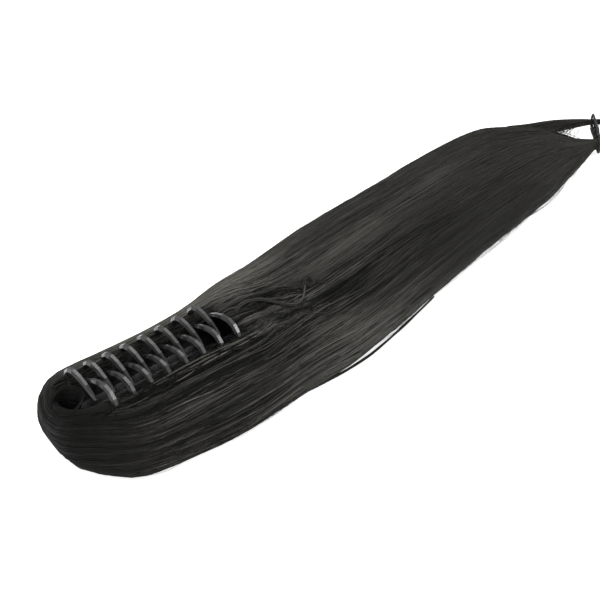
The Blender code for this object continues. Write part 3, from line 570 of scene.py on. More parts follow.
# Soft bands where the waves of the hair catch or lose the light, on the floor plan
BANDS = (
    # x, y, half length, half width, heading in degrees, amount
    (146.0, -36.0, 26.0, 9.0, 5.0, 0.34),
    (172.0, -13.0, 20.0, 7.0, 4.0, -0.34),
    (206.0, 19.0, 48.0, 9.0, 13.0, 0.22),
    (300.0, 42.0, 55.0, 9.0, 13.0, 0.16),
    (222.0, 3.5, 50.0, 3.0, 1.0, -0.12),
    (296.0, 2.0, 60.0, 13.0, 4.0, -0.05),
    (224.0, -28.0, 42.0, 3.5, 9.0, 0.14),
    (215.0, -38.5, 44.0, 4.0, 8.0, -0.10),
    (60.0, -25.0, 34.0, 5.0, -2.0, -0.06),
    (64.0, -38.0, 34.0, 8.0, 0.0, 0.10),
    (120.0, 27.0, 40.0, 12.0, 12.0, 0.58),
    (60.0, 24.0, 50.0, 9.0, 0.0, 0.40),
    (176.0, -38.0, 40.0, 5.0, 8.0, 0.26),
    (4.0, -4.0, 24.0, 44.0, 0.0, -0.20),
    (205.0, -6.0, 40.0, 10.0, 4.0, 0.08),
    (400.0, 20.0, 40.0, 30.0, 0.0, 0.05),
)


def banded(paths, tones):
    """Tones along each strand, from its own and from the bands that it passes through."""
    contrast = np.interp(paths[..., 0], TONE_CONTRAST[:, 0], TONE_CONTRAST[:, 1])
    total = TONE_LEVEL + (tones[:, None] - TONE_LEVEL) * contrast
    for x, y, long, wide, heading, amount in BANDS:
        turn = math.radians(heading)
        ahead = (paths[..., 0] - x) * math.cos(turn) + (paths[..., 1] - y) * math.sin(turn)
        across = (paths[..., 1] - y) * math.cos(turn) - (paths[..., 0] - x) * math.sin(turn)
        total += amount * np.exp(-(ahead / long) ** 2 - (across / wide) ** 2)
    return np.clip(total, 0.0, 1.0)


def nose_point(turn, side, lift):
    """Points round the nose. Turn is -90 degrees at the near side, 0 at the tip and 90 at the far side."""
    turn = np.radians(turn)
    power = 2 / SECTION_POWER
    out_x = NOSE_LENGTH * (1.0 - np.abs(np.cos(turn)) ** power)
    along = out_x / HAIR_LENGTH
    edge_y = np.where(turn < 0.0, smooth_column(2, along), smooth_column(4, along)) * HAIR_WIDTH
    out_y = mix(NOSE_CENTRE_Y, edge_y, np.abs(np.sin(turn)) ** power)
    first = np.array(NOSE_LENGTH / HAIR_LENGTH)
    middle = 0.5 * HAIR_WIDTH * (smooth_column(2, first) + smooth_column(4, first))
    angle = np.pi * side
    share = np.abs(np.cos(angle)) ** power
    x = mix(NOSE_LENGTH, out_x, share)
    y = mix(middle, out_y, share)
    top = hair_top(x, y)
    waist = OUTER_SHARE * HEAD_HEIGHT
    low = waist * (1.0 - fullness(out_x / HAIR_LENGTH, NOSE_RISE_LENGTH)) * NOSE_LIFT
    under = waist - (waist - low) * np.minimum(FLAT_UNDERSIDE * np.abs(np.sin(angle)) ** power, 1.0)
    level = np.where(side >= 0.0, top, under)
    outward = unit(points_of(out_x - NOSE_LENGTH, out_y - middle, 0.0), 1e-6)
    tilt = np.clip(side / 0.5, -0.2, 1.0) * 0.5 * np.pi
    normal = outward * np.cos(tilt)[..., None] + UP * np.sin(tilt)[..., None]
    return points_of(x, y, level) + normal * np.asarray(lift, float)[..., None]


def side_at(x, y):
    """Side of the form, 0 to 0.5, that a distance from the claw's middle plane has at x."""
    near, far, _, _, _ = hair_frame(np.asarray(x, float) / HAIR_LENGTH)
    middle = 0.5 * (near[..., 1] + far[..., 1])
    half = 0.5 * (far[..., 1] - near[..., 1])
    share = np.clip(np.abs(y - middle) / half, 0.0, 1.0)
    return np.arccos(share ** (SECTION_POWER / 2)) / np.pi


def inner_side(x, limit):
    """Side where the hair stops beside the claw. Behind it the hair closes to the form's crest, at 0.5."""
    beside = side_at(np.minimum(x, HEAD_END), limit)
    return mix(beside, 0.5, smooth_step(np.clip((x - CLOSING_X) / CLOSING_LENGTH, 0.0, 1.0)))


class Locks:
    """Strands gathered in locks: each has its own run, tone and height, and pinches and spreads on its way.

    Spread is how far strands stray from their lock, and clear the height over which they lie. Bright is the
    share of strands that stand out. Mean and varied set the locks' tones, and grain the strands' within them.
    """

    def __init__(
        self, count, locks, stations, spread,
        clear=0.5, bright=0.0, mean=0.30, varied=0.16, grain=0.09,
    ):
        self.lock = rng.integers(0, locks, count)
        self.run = ((np.arange(locks) + rng.uniform(0.0, 1.0, locks)) / locks)[self.lock][:, None]
        pinch = 1.0 + 0.45 * smooth_noise(locks, stations, 6)
        self.across = rng.normal(0.0, spread, count)[:, None] * pinch[self.lock]
        self.wander = smooth_noise(locks, stations, 4)[self.lock] + 0.35 * smooth_noise(count, stations, 7)
        lift = rng.uniform(-0.35, 0.35, locks)[self.lock] + rng.uniform(-0.5, 0.5, count)
        self.lift = clear * lift[:, None] + 0.3 * smooth_noise(count, stations, 9)
        tone = np.clip(rng.normal(mean, varied, locks), 0.0, 0.9)
        single = (rng.uniform(0.0, 1.0, count) < bright) * rng.uniform(0.2, 0.55, count)
        self.tone = np.clip(tone[self.lock] + single + rng.normal(0.0, grain, count), 0.0, 1.0)

    def ring(self):
        """Place of each strand between the lowest side and the rim of the claw's mouth, 0 to 1."""
        return np.clip(self.run + self.across + 0.03 * self.wander, 0.0, 1.0)


def off_floor(paths):
    paths = tucked(paths)
    paths[..., 2] = np.maximum(paths[..., 2], FLOOR_GAP)
    return paths


def eased(paths, passes):
    """Rounds off the corners of each strand, with its ends kept."""
    for _ in range(passes):
        paths[:, 1:-1] = 0.25 * paths[:, :-2] + 0.5 * paths[:, 1:-1] + 0.25 * paths[:, 2:]
    return paths


def chosen_stations(paths, stations):
    """Stations to keep, closer together where the strands turn."""
    steps = np.diff(paths, axis=1)
    lengths = np.linalg.norm(steps, axis=-1)
    ahead = steps / np.maximum(lengths, 1e-9)[..., None]
    turns = np.arccos(np.clip((ahead[:, 1:] * ahead[:, :-1]).sum(axis=-1), -1.0, 1.0)).mean(axis=0)
    weight = lengths.mean(axis=0)
    weight[1:] += TURN_LENGTH * turns
    total = np.concatenate([[0.0], np.cumsum(weight)])
    wanted = np.linspace(0.0, total[-1], stations)
    return np.unique(np.round(np.interp(wanted, total, np.arange(len(total)))).astype(int))


def rim_drop(ring):
    return -RIM_DROP * np.clip((ring - RIM_START) / RIM_SHARE, 0.0, 1.0) ** 2


NOSE_FAR_STATIONS = 14
NOSE_NEAR_STATIONS = 40
NOSE_FAR_X = (34.0, 140.0)
NOSE_NEAR_X = (60.0, 300.0)


def nose_strands(count, radius):
    """Strands from the far side, round the nose's tip and back along the near side."""
    near_start = NOSE_FAR_STATIONS + len(NOSE_TURNS)
    dense = near_start + NOSE_NEAR_STATIONS
    breaks = (NOSE_FAR_STATIONS, near_start)
    group = Locks(count, 180, dense, spread=0.035, clear=0.8, bright=0.2, mean=0.34, varied=0.16, grain=0.14)
    ring = group.ring()
    calm_places = (0, NOSE_FAR_STATIONS, near_start, dense - 25)
    calm = np.interp(np.arange(dense), calm_places, (0.8, 0.35, 0.45, 1.0))
    lift = group.lift * calm[None, :] - NOSE_LAYER_DEPTH + rim_drop(ring)
    far_ring, nose_ring, near_ring = np.split(ring, breaks, axis=1)
    far_lift, nose_lift, near_lift = np.split(lift, breaks, axis=1)
    start_x = per_strand(count, *NOSE_FAR_X)
    end_x = mix(*NOSE_NEAR_X, per_strand(count, 0.0, 1.0) ** 1.4)
    x = mix(start_x, NOSE_LENGTH, np.linspace(0.0, 1.0, NOSE_FAR_STATIONS, endpoint=False)[None, :])
    side = mix(LOWEST_SIDE, inner_side(x, MOUTH_LIMIT), far_ring)
    far_part = hair_surface(x / HAIR_LENGTH, 1.0 - side, far_lift)
    turn = NOSE_TURNS[None, :] * np.ones((count, 1))
    limit = np.interp(turn, NOSE_RIM[:, 0], NOSE_RIM[:, 1])
    nose_part = nose_point(turn, mix(LOWEST_SIDE, limit, nose_ring), nose_lift)
    shares = (np.arange(NOSE_NEAR_STATIONS) + 1)[None, :] / NOSE_NEAR_STATIONS
    x = mix(NOSE_LENGTH, end_x, shares ** 1.2)
    side = mix(LOWEST_SIDE, inner_side(x, -MOUTH_LIMIT), near_ring)
    near_part = hair_surface(x / HAIR_LENGTH, side, near_lift)
    paths = eased(np.concatenate([far_part, nose_part, near_part], axis=1), 3)
    kept = chosen_stations(paths, 34)
    paths = off_floor(paths[:, kept])
    return paths, tapered(count, len(kept), radius), banded(paths, group.tone)


def side_strands(count, radius, far, start, end, locks, stations, **look):
    """Strands that run back from beside the claw, on the near or the far side."""
    group = Locks(count, locks, stations, spread=0.03, **look)
    ring = group.ring()
    first = per_strand(count, *start)
    last = per_strand(count, *end)
    x = mix(first, last, strand_shares(stations))
    side = mix(LOWEST_SIDE, inner_side(x, MOUTH_LIMIT if far else -MOUTH_LIMIT), ring)
    lift = group.lift - LAYER_DEPTH + rim_drop(ring)
    paths = off_floor(hair_surface(x / HAIR_LENGTH, 1.0 - side if far else side, lift))
    return paths, tapered(count, stations, radius), banded(paths, group.tone)


TAIL_START = (0.235, 0.42)
TAIL_END = (0.86, 2.35)
TAIL_SIDES = (LOWEST_SIDE, 1.0 - LOWEST_SIDE)


def tail_strands(count, radius, rise, **look):
    """Strands from behind the claw to the tie. Rise is the height of their middle over the form."""
    stations = 23
    group = Locks(count, 260, stations, spread=0.014, **look)
    first = mix(*TAIL_START, per_strand(count, 0.0, 1.0) ** 2)
    last = per_strand(count, *TAIL_END)
    place = mix(first, last, strand_shares(stations))
    side = mix(*TAIL_SIDES, group.run) + group.across + 0.02 * group.wander
    paths = off_floor(hair_surface(place, side, group.lift * np.minimum(1.0, 2.2 - place) + rise))
    return paths, tapered(count, stations, radius), banded(paths, group.tone)


def curve_through(points, count):
    """Points along a smooth curve through given ones."""
    points = np.array(points, float)
    at = np.linspace(0.0, len(points) - 1.0, count)
    index = np.clip(at.astype(int), 0, len(points) - 2)
    share = (at - index)[:, None]
    before = points[np.maximum(index - 1, 0)]
    start, end = points[index], points[index + 1]
    after = points[np.minimum(index + 2, len(points) - 1)]
    return 0.5 * (
        2 * start + (end - before) * share + (2 * before - 5 * start + 4 * end - after) * share ** 2
        + (3 * start - before - 3 * end + after) * share ** 3
    )


def lock_strands(points, count, width, radius, tones, stations, twist, loose):
    """A lock of strands that twist round each other along a curve.

    Width is its radius at its start and end, twist its number of turns, and loose how far its strands stray.
    """
    middle = curve_through(points, stations)
    sideways, upwards = axes_across(unit(np.gradient(middle, axis=0)))
    share = strand_shares(stations)
    angle = per_strand(count, 0.0, 2 * np.pi) + twist * 2 * np.pi * share
    reach = np.sqrt(per_strand(count, 0.0, 1.0)) * mix(*width, share)
    reach = reach * (1.0 + loose * np.abs(smooth_noise(count, stations, 4)))
    paths = (
        middle[None] + sideways[None] * (reach * np.cos(angle))[..., None]
        + upwards[None] * (reach * np.sin(angle))[..., None]
    )
    paths[..., 2] = np.maximum(paths[..., 2], LOCK_FLOOR_GAP)
    tones = rng.uniform(*tones, count)
    return paths, tapered(count, stations, radius, 0.1, 0.2), tones


TUFT_LOCKS = 70
TUFT_X = (100.5, 106.0)
TUFT_Y = (-25.0, 12.0)
TUFT_MIDDLE_Y = -6.0
TUFT_LENGTH = (30.0, 64.0)
TUFT_WAVE_LENGTH = 16.5
# Slope of the tuft's middle on the floor plan, and how much the slope falls for each millimetre beside it
TUFT_SLOPE = -0.10
TUFT_FAN = 0.0045
TUFT_DARK_LOCKS = 0.45


def tuft_strands(count, radius):
    """Short wavy strands that fan out over the hair from the claw's far end."""
    stations = 19
    share = strand_shares(stations)
    lock = rng.integers(0, TUFT_LOCKS, count)
    wide = TUFT_Y[1] - TUFT_Y[0]
    run = np.arange(TUFT_LOCKS) + rng.uniform(0.0, 1.0, TUFT_LOCKS)
    start_y = (TUFT_Y[0] + wide * run / TUFT_LOCKS)[lock] + rng.normal(0.0, 0.45, count)
    length = rng.uniform(*TUFT_LENGTH, TUFT_LOCKS)[lock] * rng.uniform(0.75, 1.1, count)
    slope = TUFT_SLOPE - TUFT_FAN * (start_y - TUFT_MIDDLE_Y)
    slope = slope + rng.normal(0.0, 0.05, TUFT_LOCKS)[lock] + rng.normal(0.0, 0.012, count)
    wave = TUFT_WAVE_LENGTH * rng.uniform(0.9, 1.12, TUFT_LOCKS)[lock]
    phase = 0.03 * start_y + rng.normal(0.0, 0.07, TUFT_LOCKS)[lock] + rng.normal(0.0, 0.025, count)
    swing = rng.uniform(0.7, 1.5, TUFT_LOCKS)[lock]
    x = per_strand(count, *TUFT_X) + length[:, None] * share
    ripple = np.sin(2 * np.pi * (length[:, None] * share / wave[:, None] + phase[:, None]))
    y = start_y[:, None] + slope[:, None] * length[:, None] * share + swing[:, None] * ripple * (0.25 + share)
    lift = rng.uniform(0.3, 1.5, TUFT_LOCKS)[lock][:, None] + 0.4 * smooth_noise(count, stations, 5)
    z = hair_top(x, y) + lift * np.sin(np.pi * np.clip(share * 1.1, 0.0, 1.0)) ** 0.6 - LAYER_DEPTH
    dark = rng.uniform(0.0, 1.0, TUFT_LOCKS) < TUFT_DARK_LOCKS
    dark_tone = rng.uniform(0.05, 0.3, TUFT_LOCKS)
    tone = np.where(dark, dark_tone, rng.uniform(0.5, 0.85, TUFT_LOCKS))[lock]
    # The tone rises and falls with each wave: a painted sheen on the waves.
    tones = tone[:, None] + rng.normal(0.0, 0.07, count)[:, None] + 0.10 * ripple
    return points_of(x, y, z), tapered(count, stations, radius), np.clip(tones, 0.0, 1.0)


ROOT_X = (30.0, 104.0)
ROOT_Y = (-11.0, -23.0)
ROOT_LENGTH = (8.0, 22.0)
ROOT_LIMIT_Y = -10.0
# The strands dip into the mouth's rim by this much, from here on over ROOT_DIP_REACH
ROOT_DIP = 4.0
ROOT_DIP_Y = -15.0
ROOT_DIP_REACH = 5.0


def root_strands(count, radius):
    """Short untidy strands over the roots of the near teeth."""
    stations = 7
    share = np.linspace(-0.5, 0.5, stations)[None, :]
    x = per_strand(count, *ROOT_X)
    y = mix(*ROOT_Y, per_strand(count, 0.0, 1.0) ** 1.4)
    length = per_strand(count, *ROOT_LENGTH)
    heading = np.radians(rng.normal(-8.0, 16.0, count))[:, None]
    bow = rng.normal(0.0, 0.10, count)[:, None] * length
    arch = 1.0 - 4.0 * share ** 2
    x_path = x + length * share * np.cos(heading) - bow * arch * np.sin(heading)
    y_path = np.minimum(y + length * share * np.sin(heading) + bow * arch * np.cos(heading), ROOT_LIMIT_Y)
    lift = per_strand(count, 0.1, 1.4) * (0.3 + 0.7 * arch)
    dip = ROOT_DIP * np.clip((y_path - ROOT_DIP_Y) / ROOT_DIP_REACH, 0.0, 1.0) ** 2
    z = hair_top(x_path, y_path) + lift - LAYER_DEPTH - dip
    # Strands nearer the mouth are darker: painted shade inside the mouth.
    tone = np.clip(rng.beta(1.0, 4.0, count) * np.interp(y[:, 0], (-17.0, -12.0), (1.0, 0.3)), 0.0, 0.8)
    return points_of(x_path, y_path, z), tapered(count, stations, radius), tone


MOUTH_X = (20.0, 98.0)
MOUTH_EDGE_Y = 9.5
MOUTH_FAR_WIDTH = 6.0
MOUTH_NEAR_WIDTH = 9.2
MOUTH_EDGE_Z = 32.6
MOUTH_RISE = 3.8


def mouth_edge_strands(count, radius, far):
    """Strands that roll over the rim of the claw's mouth, dark on the near side as painted shade inside the
    mouth.
    """
    stations = 7
    share = np.linspace(-0.5, 0.5, stations)[None, :]
    middle = per_strand(count, *MOUTH_X)
    x = middle + per_strand(count, 10.0, 26.0) * share
    across = per_strand(count, 0.0, 1.0) + 0.12 * smooth_noise(count, stations, 3)
    y = MOUTH_EDGE_Y + (MOUTH_FAR_WIDTH if far else MOUTH_NEAR_WIDTH) * across
    rise = MOUTH_RISE * np.sin(0.5 * np.pi * np.clip(1.2 * across, 0.0, 1.0))
    z = MOUTH_EDGE_Z + rise + 0.25 * smooth_noise(count, stations, 3)
    if far:
        tone = np.clip(rng.normal(0.42, 0.16, count), 0.0, 0.9)
    else:
        y = -y
        tone = rng.uniform(0.0, 0.16, count)
    return points_of(x, y, z), tapered(count, stations, radius), tone


# The hole in the nose: its middle, the radii between which strands ring it, its top, depth and least x
HOLE_X = 6.6
HOLE_Y = 4.6
HOLE_RADIUS = 6.4
HOLE_REACH = 9.4
HOLE_TOP = 35.4
HOLE_DEPTH = 15.0
HOLE_LEAST_X = 0.8


def hollow_strands(count, radius):
    """Strands that ring the hole in the nose and run down into it."""
    stations = 25
    share = strand_shares(stations)
    out = per_strand(count, 0.0, 1.0)
    first = per_strand(count, 0.0, 360.0)
    angle = np.radians(first + per_strand(count, 130.0, 330.0) * share)
    stray = 0.04 * smooth_noise(count, stations, 4)
    out_path = np.clip(out + stray + rng.normal(0.0, 0.05, count)[:, None] * share, 0.0, 1.0)
    reach = mix(HOLE_RADIUS, HOLE_REACH, out_path)
    across = np.cos(angle)
    x = np.maximum(HOLE_X + reach * across * np.where(across < 0.0, 0.45, 1.2), HOLE_LEAST_X)
    y = HOLE_Y + reach * np.sin(angle)
    sunk = HOLE_TOP - HOLE_DEPTH * (1.0 - out_path) ** 2.4
    z = np.minimum(sunk, hair_top(x, y) - 0.2 - 1.1 * out_path) + 0.3 * smooth_noise(count, stations, 5)
    # Strands that lie deeper in the hole are darker: painted shade inside the hole.
    tone = np.clip(0.06 + 0.26 * out[:, 0] + rng.normal(0.0, 0.06, count), 0.0, 0.8)
    return tucked(points_of(x, y, z)), tapered(count, stations, radius), tone


def thin_bundle_path(stations):
    """The lock that runs to the tie's far end: its middle, inner side, heading, half width and flatness."""
    target, along_tie, forward = tie_place(TIE_BUNDLE_REACH)
    _, far, _, high, _ = hair_frame(np.array(THIN_BUNDLE_START))
    level = OUTER_SHARE * high
    start = far + (0.0, -THIN_BUNDLE_INSET, level)
    onwards = hair_frame(np.array(1.0))[1] - hair_frame(np.array(0.98))[1]
    onwards = onwards / np.linalg.norm(onwards)
    outer_end = target + along_tie * THIN_BUNDLE_RADIUS
    pull = np.linalg.norm(outer_end - start) * EDGE_PULL
    share = np.linspace(0.0, 1.0, stations)
    outer = bend(start, onwards * pull, forward * pull, outer_end, share)
    heading = unit(np.gradient(outer, axis=0))
    inwards = np.stack([heading[:, 1], -heading[:, 0], np.zeros(stations)], axis=-1)
    extra = (1.0 - share) * np.minimum(share / THIN_BUNDLE_RISE, 1.0)
    half = THIN_BUNDLE_RADIUS + THIN_BUNDLE_SWELL * extra
    middle = outer + inwards * half[:, None]
    middle[:, 2] = mix(level, target[2], share)
    return middle, inwards, heading, half, np.minimum(1.0, level / half)


def thin_bundle_strands(count, radius):
    """The lock along the far edge that passes through the far end of the tie."""
    forward = tie_place(0.0)[2]
    surface_stations, stations = 7, 14
    middle, inwards, _, half, flat = thin_bundle_path(stations)
    share = np.linspace(0.0, 1.0, stations)
    reach = np.sqrt(per_strand(count, 0.45, 1.05))
    angle = per_strand(count, 0.0, 2 * np.pi) + 0.8 * share[None, :]
    along_lock = (
        middle[None] + inwards[None] * (reach * half * np.cos(angle))[..., None]
        + UP * (reach * half * flat[None, :] * np.sin(angle))[..., None]
    )
    to_lock = np.linspace(0.0, 1.0, surface_stations, endpoint=False)
    place = per_strand(count, 0.66, 0.84) * (1 - to_lock) + THIN_BUNDLE_START * to_lock
    side = 1.03 - 0.14 * per_strand(count, 0.0, 1.0) * np.ones_like(place)
    on_hair = hair_surface(place, side, per_strand(count, -0.6, 0.4) * np.ones_like(place))
    past = forward * per_strand(count, 4.0, 14.0) + rng.normal(0.0, 1.0, (count, 3)) * (1.0, 1.0, 0.5)
    free = along_lock[:, -1] + past
    paths = off_floor(np.concatenate([on_hair, along_lock, free[:, None]], axis=1))
    tone = np.clip(rng.normal(0.56, 0.08, count), 0.0, 1.0)
    return paths, tapered(count, paths.shape[1], radius), tone


GAP_SIDES = (0.34, 0.84)
GAP_STEPS = 40
GAP_END_STEPS = (22, 37)


def gap_strands(count, radius):
    """Sparse strands that round off the start of the gap before the tie."""
    stations = 12
    share = np.linspace(0.0, 1.0, stations)
    middle, inwards, heading, half, _ = thin_bundle_path(GAP_STEPS)
    centre = tie_place(0.0)[0]
    paths = np.empty((count, stations, 3))
    for strand in range(count):
        side = rng.uniform(*GAP_SIDES)
        start = hair_surface(np.array(rng.uniform(0.93, 1.0)), np.array(side), -LAYER_DEPTH)
        if rng.uniform(0.0, 1.0) < (side - GAP_SIDES[0]) / 0.5:
            step = rng.integers(*GAP_END_STEPS)
            end = middle[step] + inwards[step] * half[step] * 0.8
            arriving = heading[step]
        else:
            place = rng.uniform(1.5, 1.97)
            end = section_point(np.array(place), np.array(0.95))
            arriving = section_point(np.array(place + 0.02), np.array(0.95)) - end
            arriving = arriving / np.linalg.norm(arriving)
        end = end + UP * rng.normal(0.0, 0.8)
        ahead = centre - start
        ahead = ahead / np.linalg.norm(ahead)
        pull = np.linalg.norm(end - start)
        paths[strand] = bend(start, ahead * pull * rng.uniform(0.35, 0.8), arriving * pull * 0.2, end, share)
    tone = np.clip(rng.normal(0.5, 0.10, count), 0.0, 1.0)
    return off_floor(paths), tapered(count, stations, radius), tone


def tie_strands(count, radius):
    """Short strands caught along the tie between its two bundles."""
    stations = 12
    middle, along_tie, forward = tie_place(0.0)
    first = per_strand(count, -0.9, 0.4)
    last = np.minimum(first + per_strand(count, 0.5, 1.2), 1.05)
    across = TIE_BUNDLE_REACH * mix(first, last, strand_shares(stations))
    ahead = rng.normal(0.0, 0.8, count)[:, None] + 0.5 * smooth_noise(count, stations, 3)
    level = rng.normal(0.0, 2.2, count)[:, None] + 0.5 * smooth_noise(count, stations, 3)
    paths = middle + along_tie * across[..., None] + forward * ahead[..., None] + UP * level[..., None]
    tone = np.clip(rng.normal(0.25, 0.12, count), 0.0, 1.0)
    return off_floor(paths), tapered(count, stations, radius), tone


def fly_away_strands(count, radius, place, side, reach, length):
    """Single fine strands that leave the outline by a reach. Some come back to it."""
    stations = 12
    share = strand_shares(stations)
    first = per_strand(count, *place)
    places = first + per_strand(count, *length) / HAIR_LENGTH * share
    sides = per_strand(count, *side) + 0.012 * smooth_noise(count, stations, 3)
    away = mix(*reach, per_strand(count, 0.0, 1.0) ** 2)
    comes_back = per_strand(count, 0.0, 1.0) < 0.4
    swell = np.where(comes_back, np.sin(np.pi * share), share ** 1.6)
    lift = away * swell + 0.25 * smooth_noise(count, stations, 4) - LAYER_DEPTH
    paths = off_floor(hair_surface(places, sides, lift))
    tone = np.clip(rng.beta(2.0, 3.0, count), 0.0, 1.0)
    return paths, tapered(count, stations, radius, 0.1, 0.3), tone


# Middles of the single locks, as x, y, z
CURL = (
    (107.5, -0.6, 37.4), (110.5, 0.6, 38.8), (115.5, 1.6, 39.2), (120.2, 0.5, 39.1), (124.2, -1.9, 38.9),
    (127.1, -5.7, 38.6), (130.1, -10.1, 38.2), (132.6, -13.5, 37.9), (136.3, -15.5, 37.5),
    (140.7, -14.5, 37.0), (145.7, -10.9, 36.4), (150.2, -6.7, 36.0), (153.4, -3.4, 35.8),
    (156.9, -2.3, 35.4), (160.6, -4.4, 34.2),
)
KNOT = (
    (149.4, -5.0, 34.8), (152.0, -2.0, 36.2), (155.4, -0.6, 36.6), (158.4, -2.0, 36.2), (158.0, -4.8, 35.8),
    (154.8, -5.6, 35.8), (152.8, -3.4, 36.1), (156.0, -1.6, 36.4), (160.4, -4.0, 35.2), (166.6, -8.0, 33.2),
)
RIM_LOCK = (
    (9.5, 18.0, 32.3), (11.8, 17.4, 33.9), (14.5, 16.7, 35.2), (18.0, 15.9, 35.8), (23.0, 15.5, 36.0),
    (30.0, 16.0, 36.2),
)
LOOSE_LOCK = (
    (104.0, -38.2, 4.2), (116.5, -40.0, 3.6), (131.0, -41.2, 3.2), (148.0, -41.8, 3.0), (166.0, -41.0, 3.0),
    (181.0, -38.6, 3.0), (195.0, -36.0, 3.0), (212.0, -32.2, 3.0), (230.0, -28.0, 3.0),
)

# The groups' mean tones differ as painted light and shade: darkest on the near side and round the nose,
# lighter on the far side, lightest along the tail.
hair_pieces = [
    base,
    strand_piece("strands_round_nose", nose_strands(760, (0.20, 0.40))),
    strand_piece("strands_near_side", side_strands(
        1230, (0.13, 0.33), False, (18.0, 110.0), (170.0, 310.0), 300, stations=21,
        clear=1.2, bright=0.32, mean=0.31, varied=0.17, grain=0.16,
    )),
    strand_piece("strands_far_side", side_strands(
        540, (0.18, 0.34), True, (24.0, 104.0), (150.0, 300.0), 90, stations=17,
        clear=0.8, bright=0.12, mean=0.48, varied=0.12,
    )),
    strand_piece("strands_tail_inner", tail_strands(
        1020, (0.26, 0.46), -LAYER_DEPTH, clear=0.4, mean=0.60, varied=0.04, grain=0.05,
    )),
    strand_piece("strands_tail_outer", tail_strands(
        1150, (0.18, 0.31), -0.1, clear=0.45, mean=0.62, varied=0.04, grain=0.06,
    )),
    strand_piece(
        "strands_tuft",
        tuft_strands(520, (0.12, 0.26)),
        lock_strands(CURL, 24, (0.85, 0.35), (0.12, 0.24), (0.5, 0.95), stations=38, twist=0.4, loose=0.5),
        lock_strands(KNOT, 13, (0.5, 1.0), (0.10, 0.17), (0.3, 0.9), stations=36, twist=1.0, loose=1.2),
    ),
    strand_piece(
        "strands_by_claw",
        root_strands(440, (0.12, 0.24)),
        mouth_edge_strands(700, (0.20, 0.36), False),
        mouth_edge_strands(200, (0.16, 0.30), True),
        hollow_strands(280, (0.20, 0.38)),
        lock_strands(RIM_LOCK, 34, (0.8, 1.1), (0.16, 0.30), (0.15, 0.45), stations=16, twist=0.3, loose=0.3),
    ),
    strand_piece(
        "strands_tail_end",
        thin_bundle_strands(230, (0.16, 0.30)),
        gap_strands(300, (0.10, 0.22)),
        tie_strands(100, (0.12, 0.28)),
    ),
    strand_piece(
        "fly_aways",
        lock_strands(LOOSE_LOCK, 24, (0.6, 0.5), (0.12, 0.22), (0.3, 0.7), stations=30, twist=1.0, loose=0.6),
        fly_away_strands(260, (0.05, 0.11), (0.03, 0.92), (-0.09, 0.06), (0.4, 3.2), (30.0, 90.0)),
        fly_away_strands(70, (0.05, 0.10), (0.02, 0.20), (-0.12, 0.02), (0.6, 3.0), (20.0, 60.0)),
        fly_away_strands(120, (0.05, 0.10), (0.06, 0.80), (0.90, 1.04), (0.3, 2.2), (30.0, 90.0)),
        fly_away_strands(160, (0.06, 0.11), (0.24, 0.85), (0.15, 0.85), (0.4, 2.6), (30.0, 80.0)),
    ),
]

# Each hair piece's transform goes into its mesh, and the three hair solids that the strands and base stand in
# for are hidden
for piece in hair_pieces:
    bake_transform(piece)
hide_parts("far_hair", "near_hair", "tail_hair")

FINISHES = {
    "far_jaw": plastic, "near_jaw": plastic, "hinge_pin": steel, "closing_spring": steel, "end_tie": band,
}
for node, material in FINISHES.items():
    data = frame["nodes"][node].data
    data.materials.clear()
    data.materials.append(material)


# Floor, lights and camera

# In metres. The floor lies just under the part.
FLOOR_SIZE = 30.0
FLOOR_LEVEL = -0.0002


def make_floor():
    """A plain white floor that glows a little, so that it stays white under soft light."""
    bpy.ops.mesh.primitive_plane_add(size=FLOOR_SIZE, location=(0.0, 0.0, FLOOR_LEVEL))
    floor = bpy.context.active_object
    floor.name = "floor"
    white = Finish("floor", {
        "Base Color": (0.85, 0.85, 0.85, 1.0), "Roughness": 0.9, "Specular IOR Level": 0.0,
        "Emission Color": (1.0, 1.0, 1.0, 1.0), "Emission Strength": 0.75,
    })
    floor.data.materials.append(white.material)


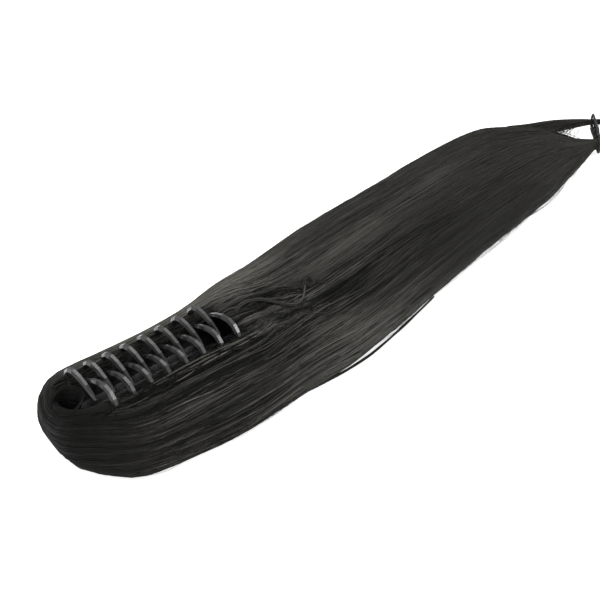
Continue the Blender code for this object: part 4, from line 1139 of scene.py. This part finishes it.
def area_light(name, place, aim, size, power):
    """A square light, its place and aim in metres in the world and its power in watts."""
    data = bpy.data.lights.new(name, "AREA")
    data.shape = "SQUARE"
    data.size = size
    data.energy = power
    light = bpy.data.objects.new(name, data)
    bpy.context.scene.collection.objects.link(light)
    light.location = place
    light.rotation_mode = "QUATERNION"
    light.rotation_quaternion = (Vector(aim) - Vector(place)).to_track_quat("-Z", "Y")


def make_world():
    """An even white surround."""
    world = bpy.data.worlds.new("studio")
    world.use_nodes = True
    background = world.node_tree.nodes["Background"]
    background.inputs["Color"].default_value = (1.0, 1.0, 1.0, 1.0)
    background.inputs["Strength"].default_value = 0.6
    bpy.context.scene.world = world


# The camera that was fitted to the photo: where it looks, from how far off and in which direction
CAMERA_AIM = np.array((173.2, 22.6, 0.9))
CAMERA_DISTANCE = 681.9
CAMERA_AZIMUTH = math.radians(-42.09)
CAMERA_ELEVATION = math.radians(36.5)
CAMERA_SENSOR = 36.0
CAMERA_LENS = 72.0


def make_camera():
    """A camera that looks at its aim from the azimuth and the elevation above."""
    back = Vector((
        math.sin(CAMERA_AZIMUTH) * math.cos(CAMERA_ELEVATION),
        -math.cos(CAMERA_AZIMUTH) * math.cos(CAMERA_ELEVATION),
        math.sin(CAMERA_ELEVATION),
    ))
    right = Vector((math.cos(CAMERA_AZIMUTH), math.sin(CAMERA_AZIMUTH), 0.0))
    data = bpy.data.cameras.new("camera")
    data.sensor_width = CAMERA_SENSOR
    data.lens = CAMERA_LENS
    camera = bpy.data.objects.new("camera", data)
    bpy.context.scene.collection.objects.link(camera)
    turned = Matrix((right, back.cross(right), back)).transposed().to_4x4()
    turned.translation = Vector(CAMERA_AIM * MM + ORIGIN) + back * CAMERA_DISTANCE * MM
    camera.matrix_world = turned
    bpy.context.scene.camera = camera


make_floor()
make_world()
area_light("top_softbox", (0.0, 0.5, 1.4), (0.0, 0.0, 0.0), 1.2, 18.0)
area_light("left_softbox", (-1.2, -0.3, 0.9), (0.0, 0.0, 0.0), 0.8, 5.0)
area_light("key", (0.35, -0.8, 0.75), (-0.15, 0.0, 0.03), 0.22, 4.0)
make_camera()
bpy.context.scene.view_settings.view_transform = "Standard"
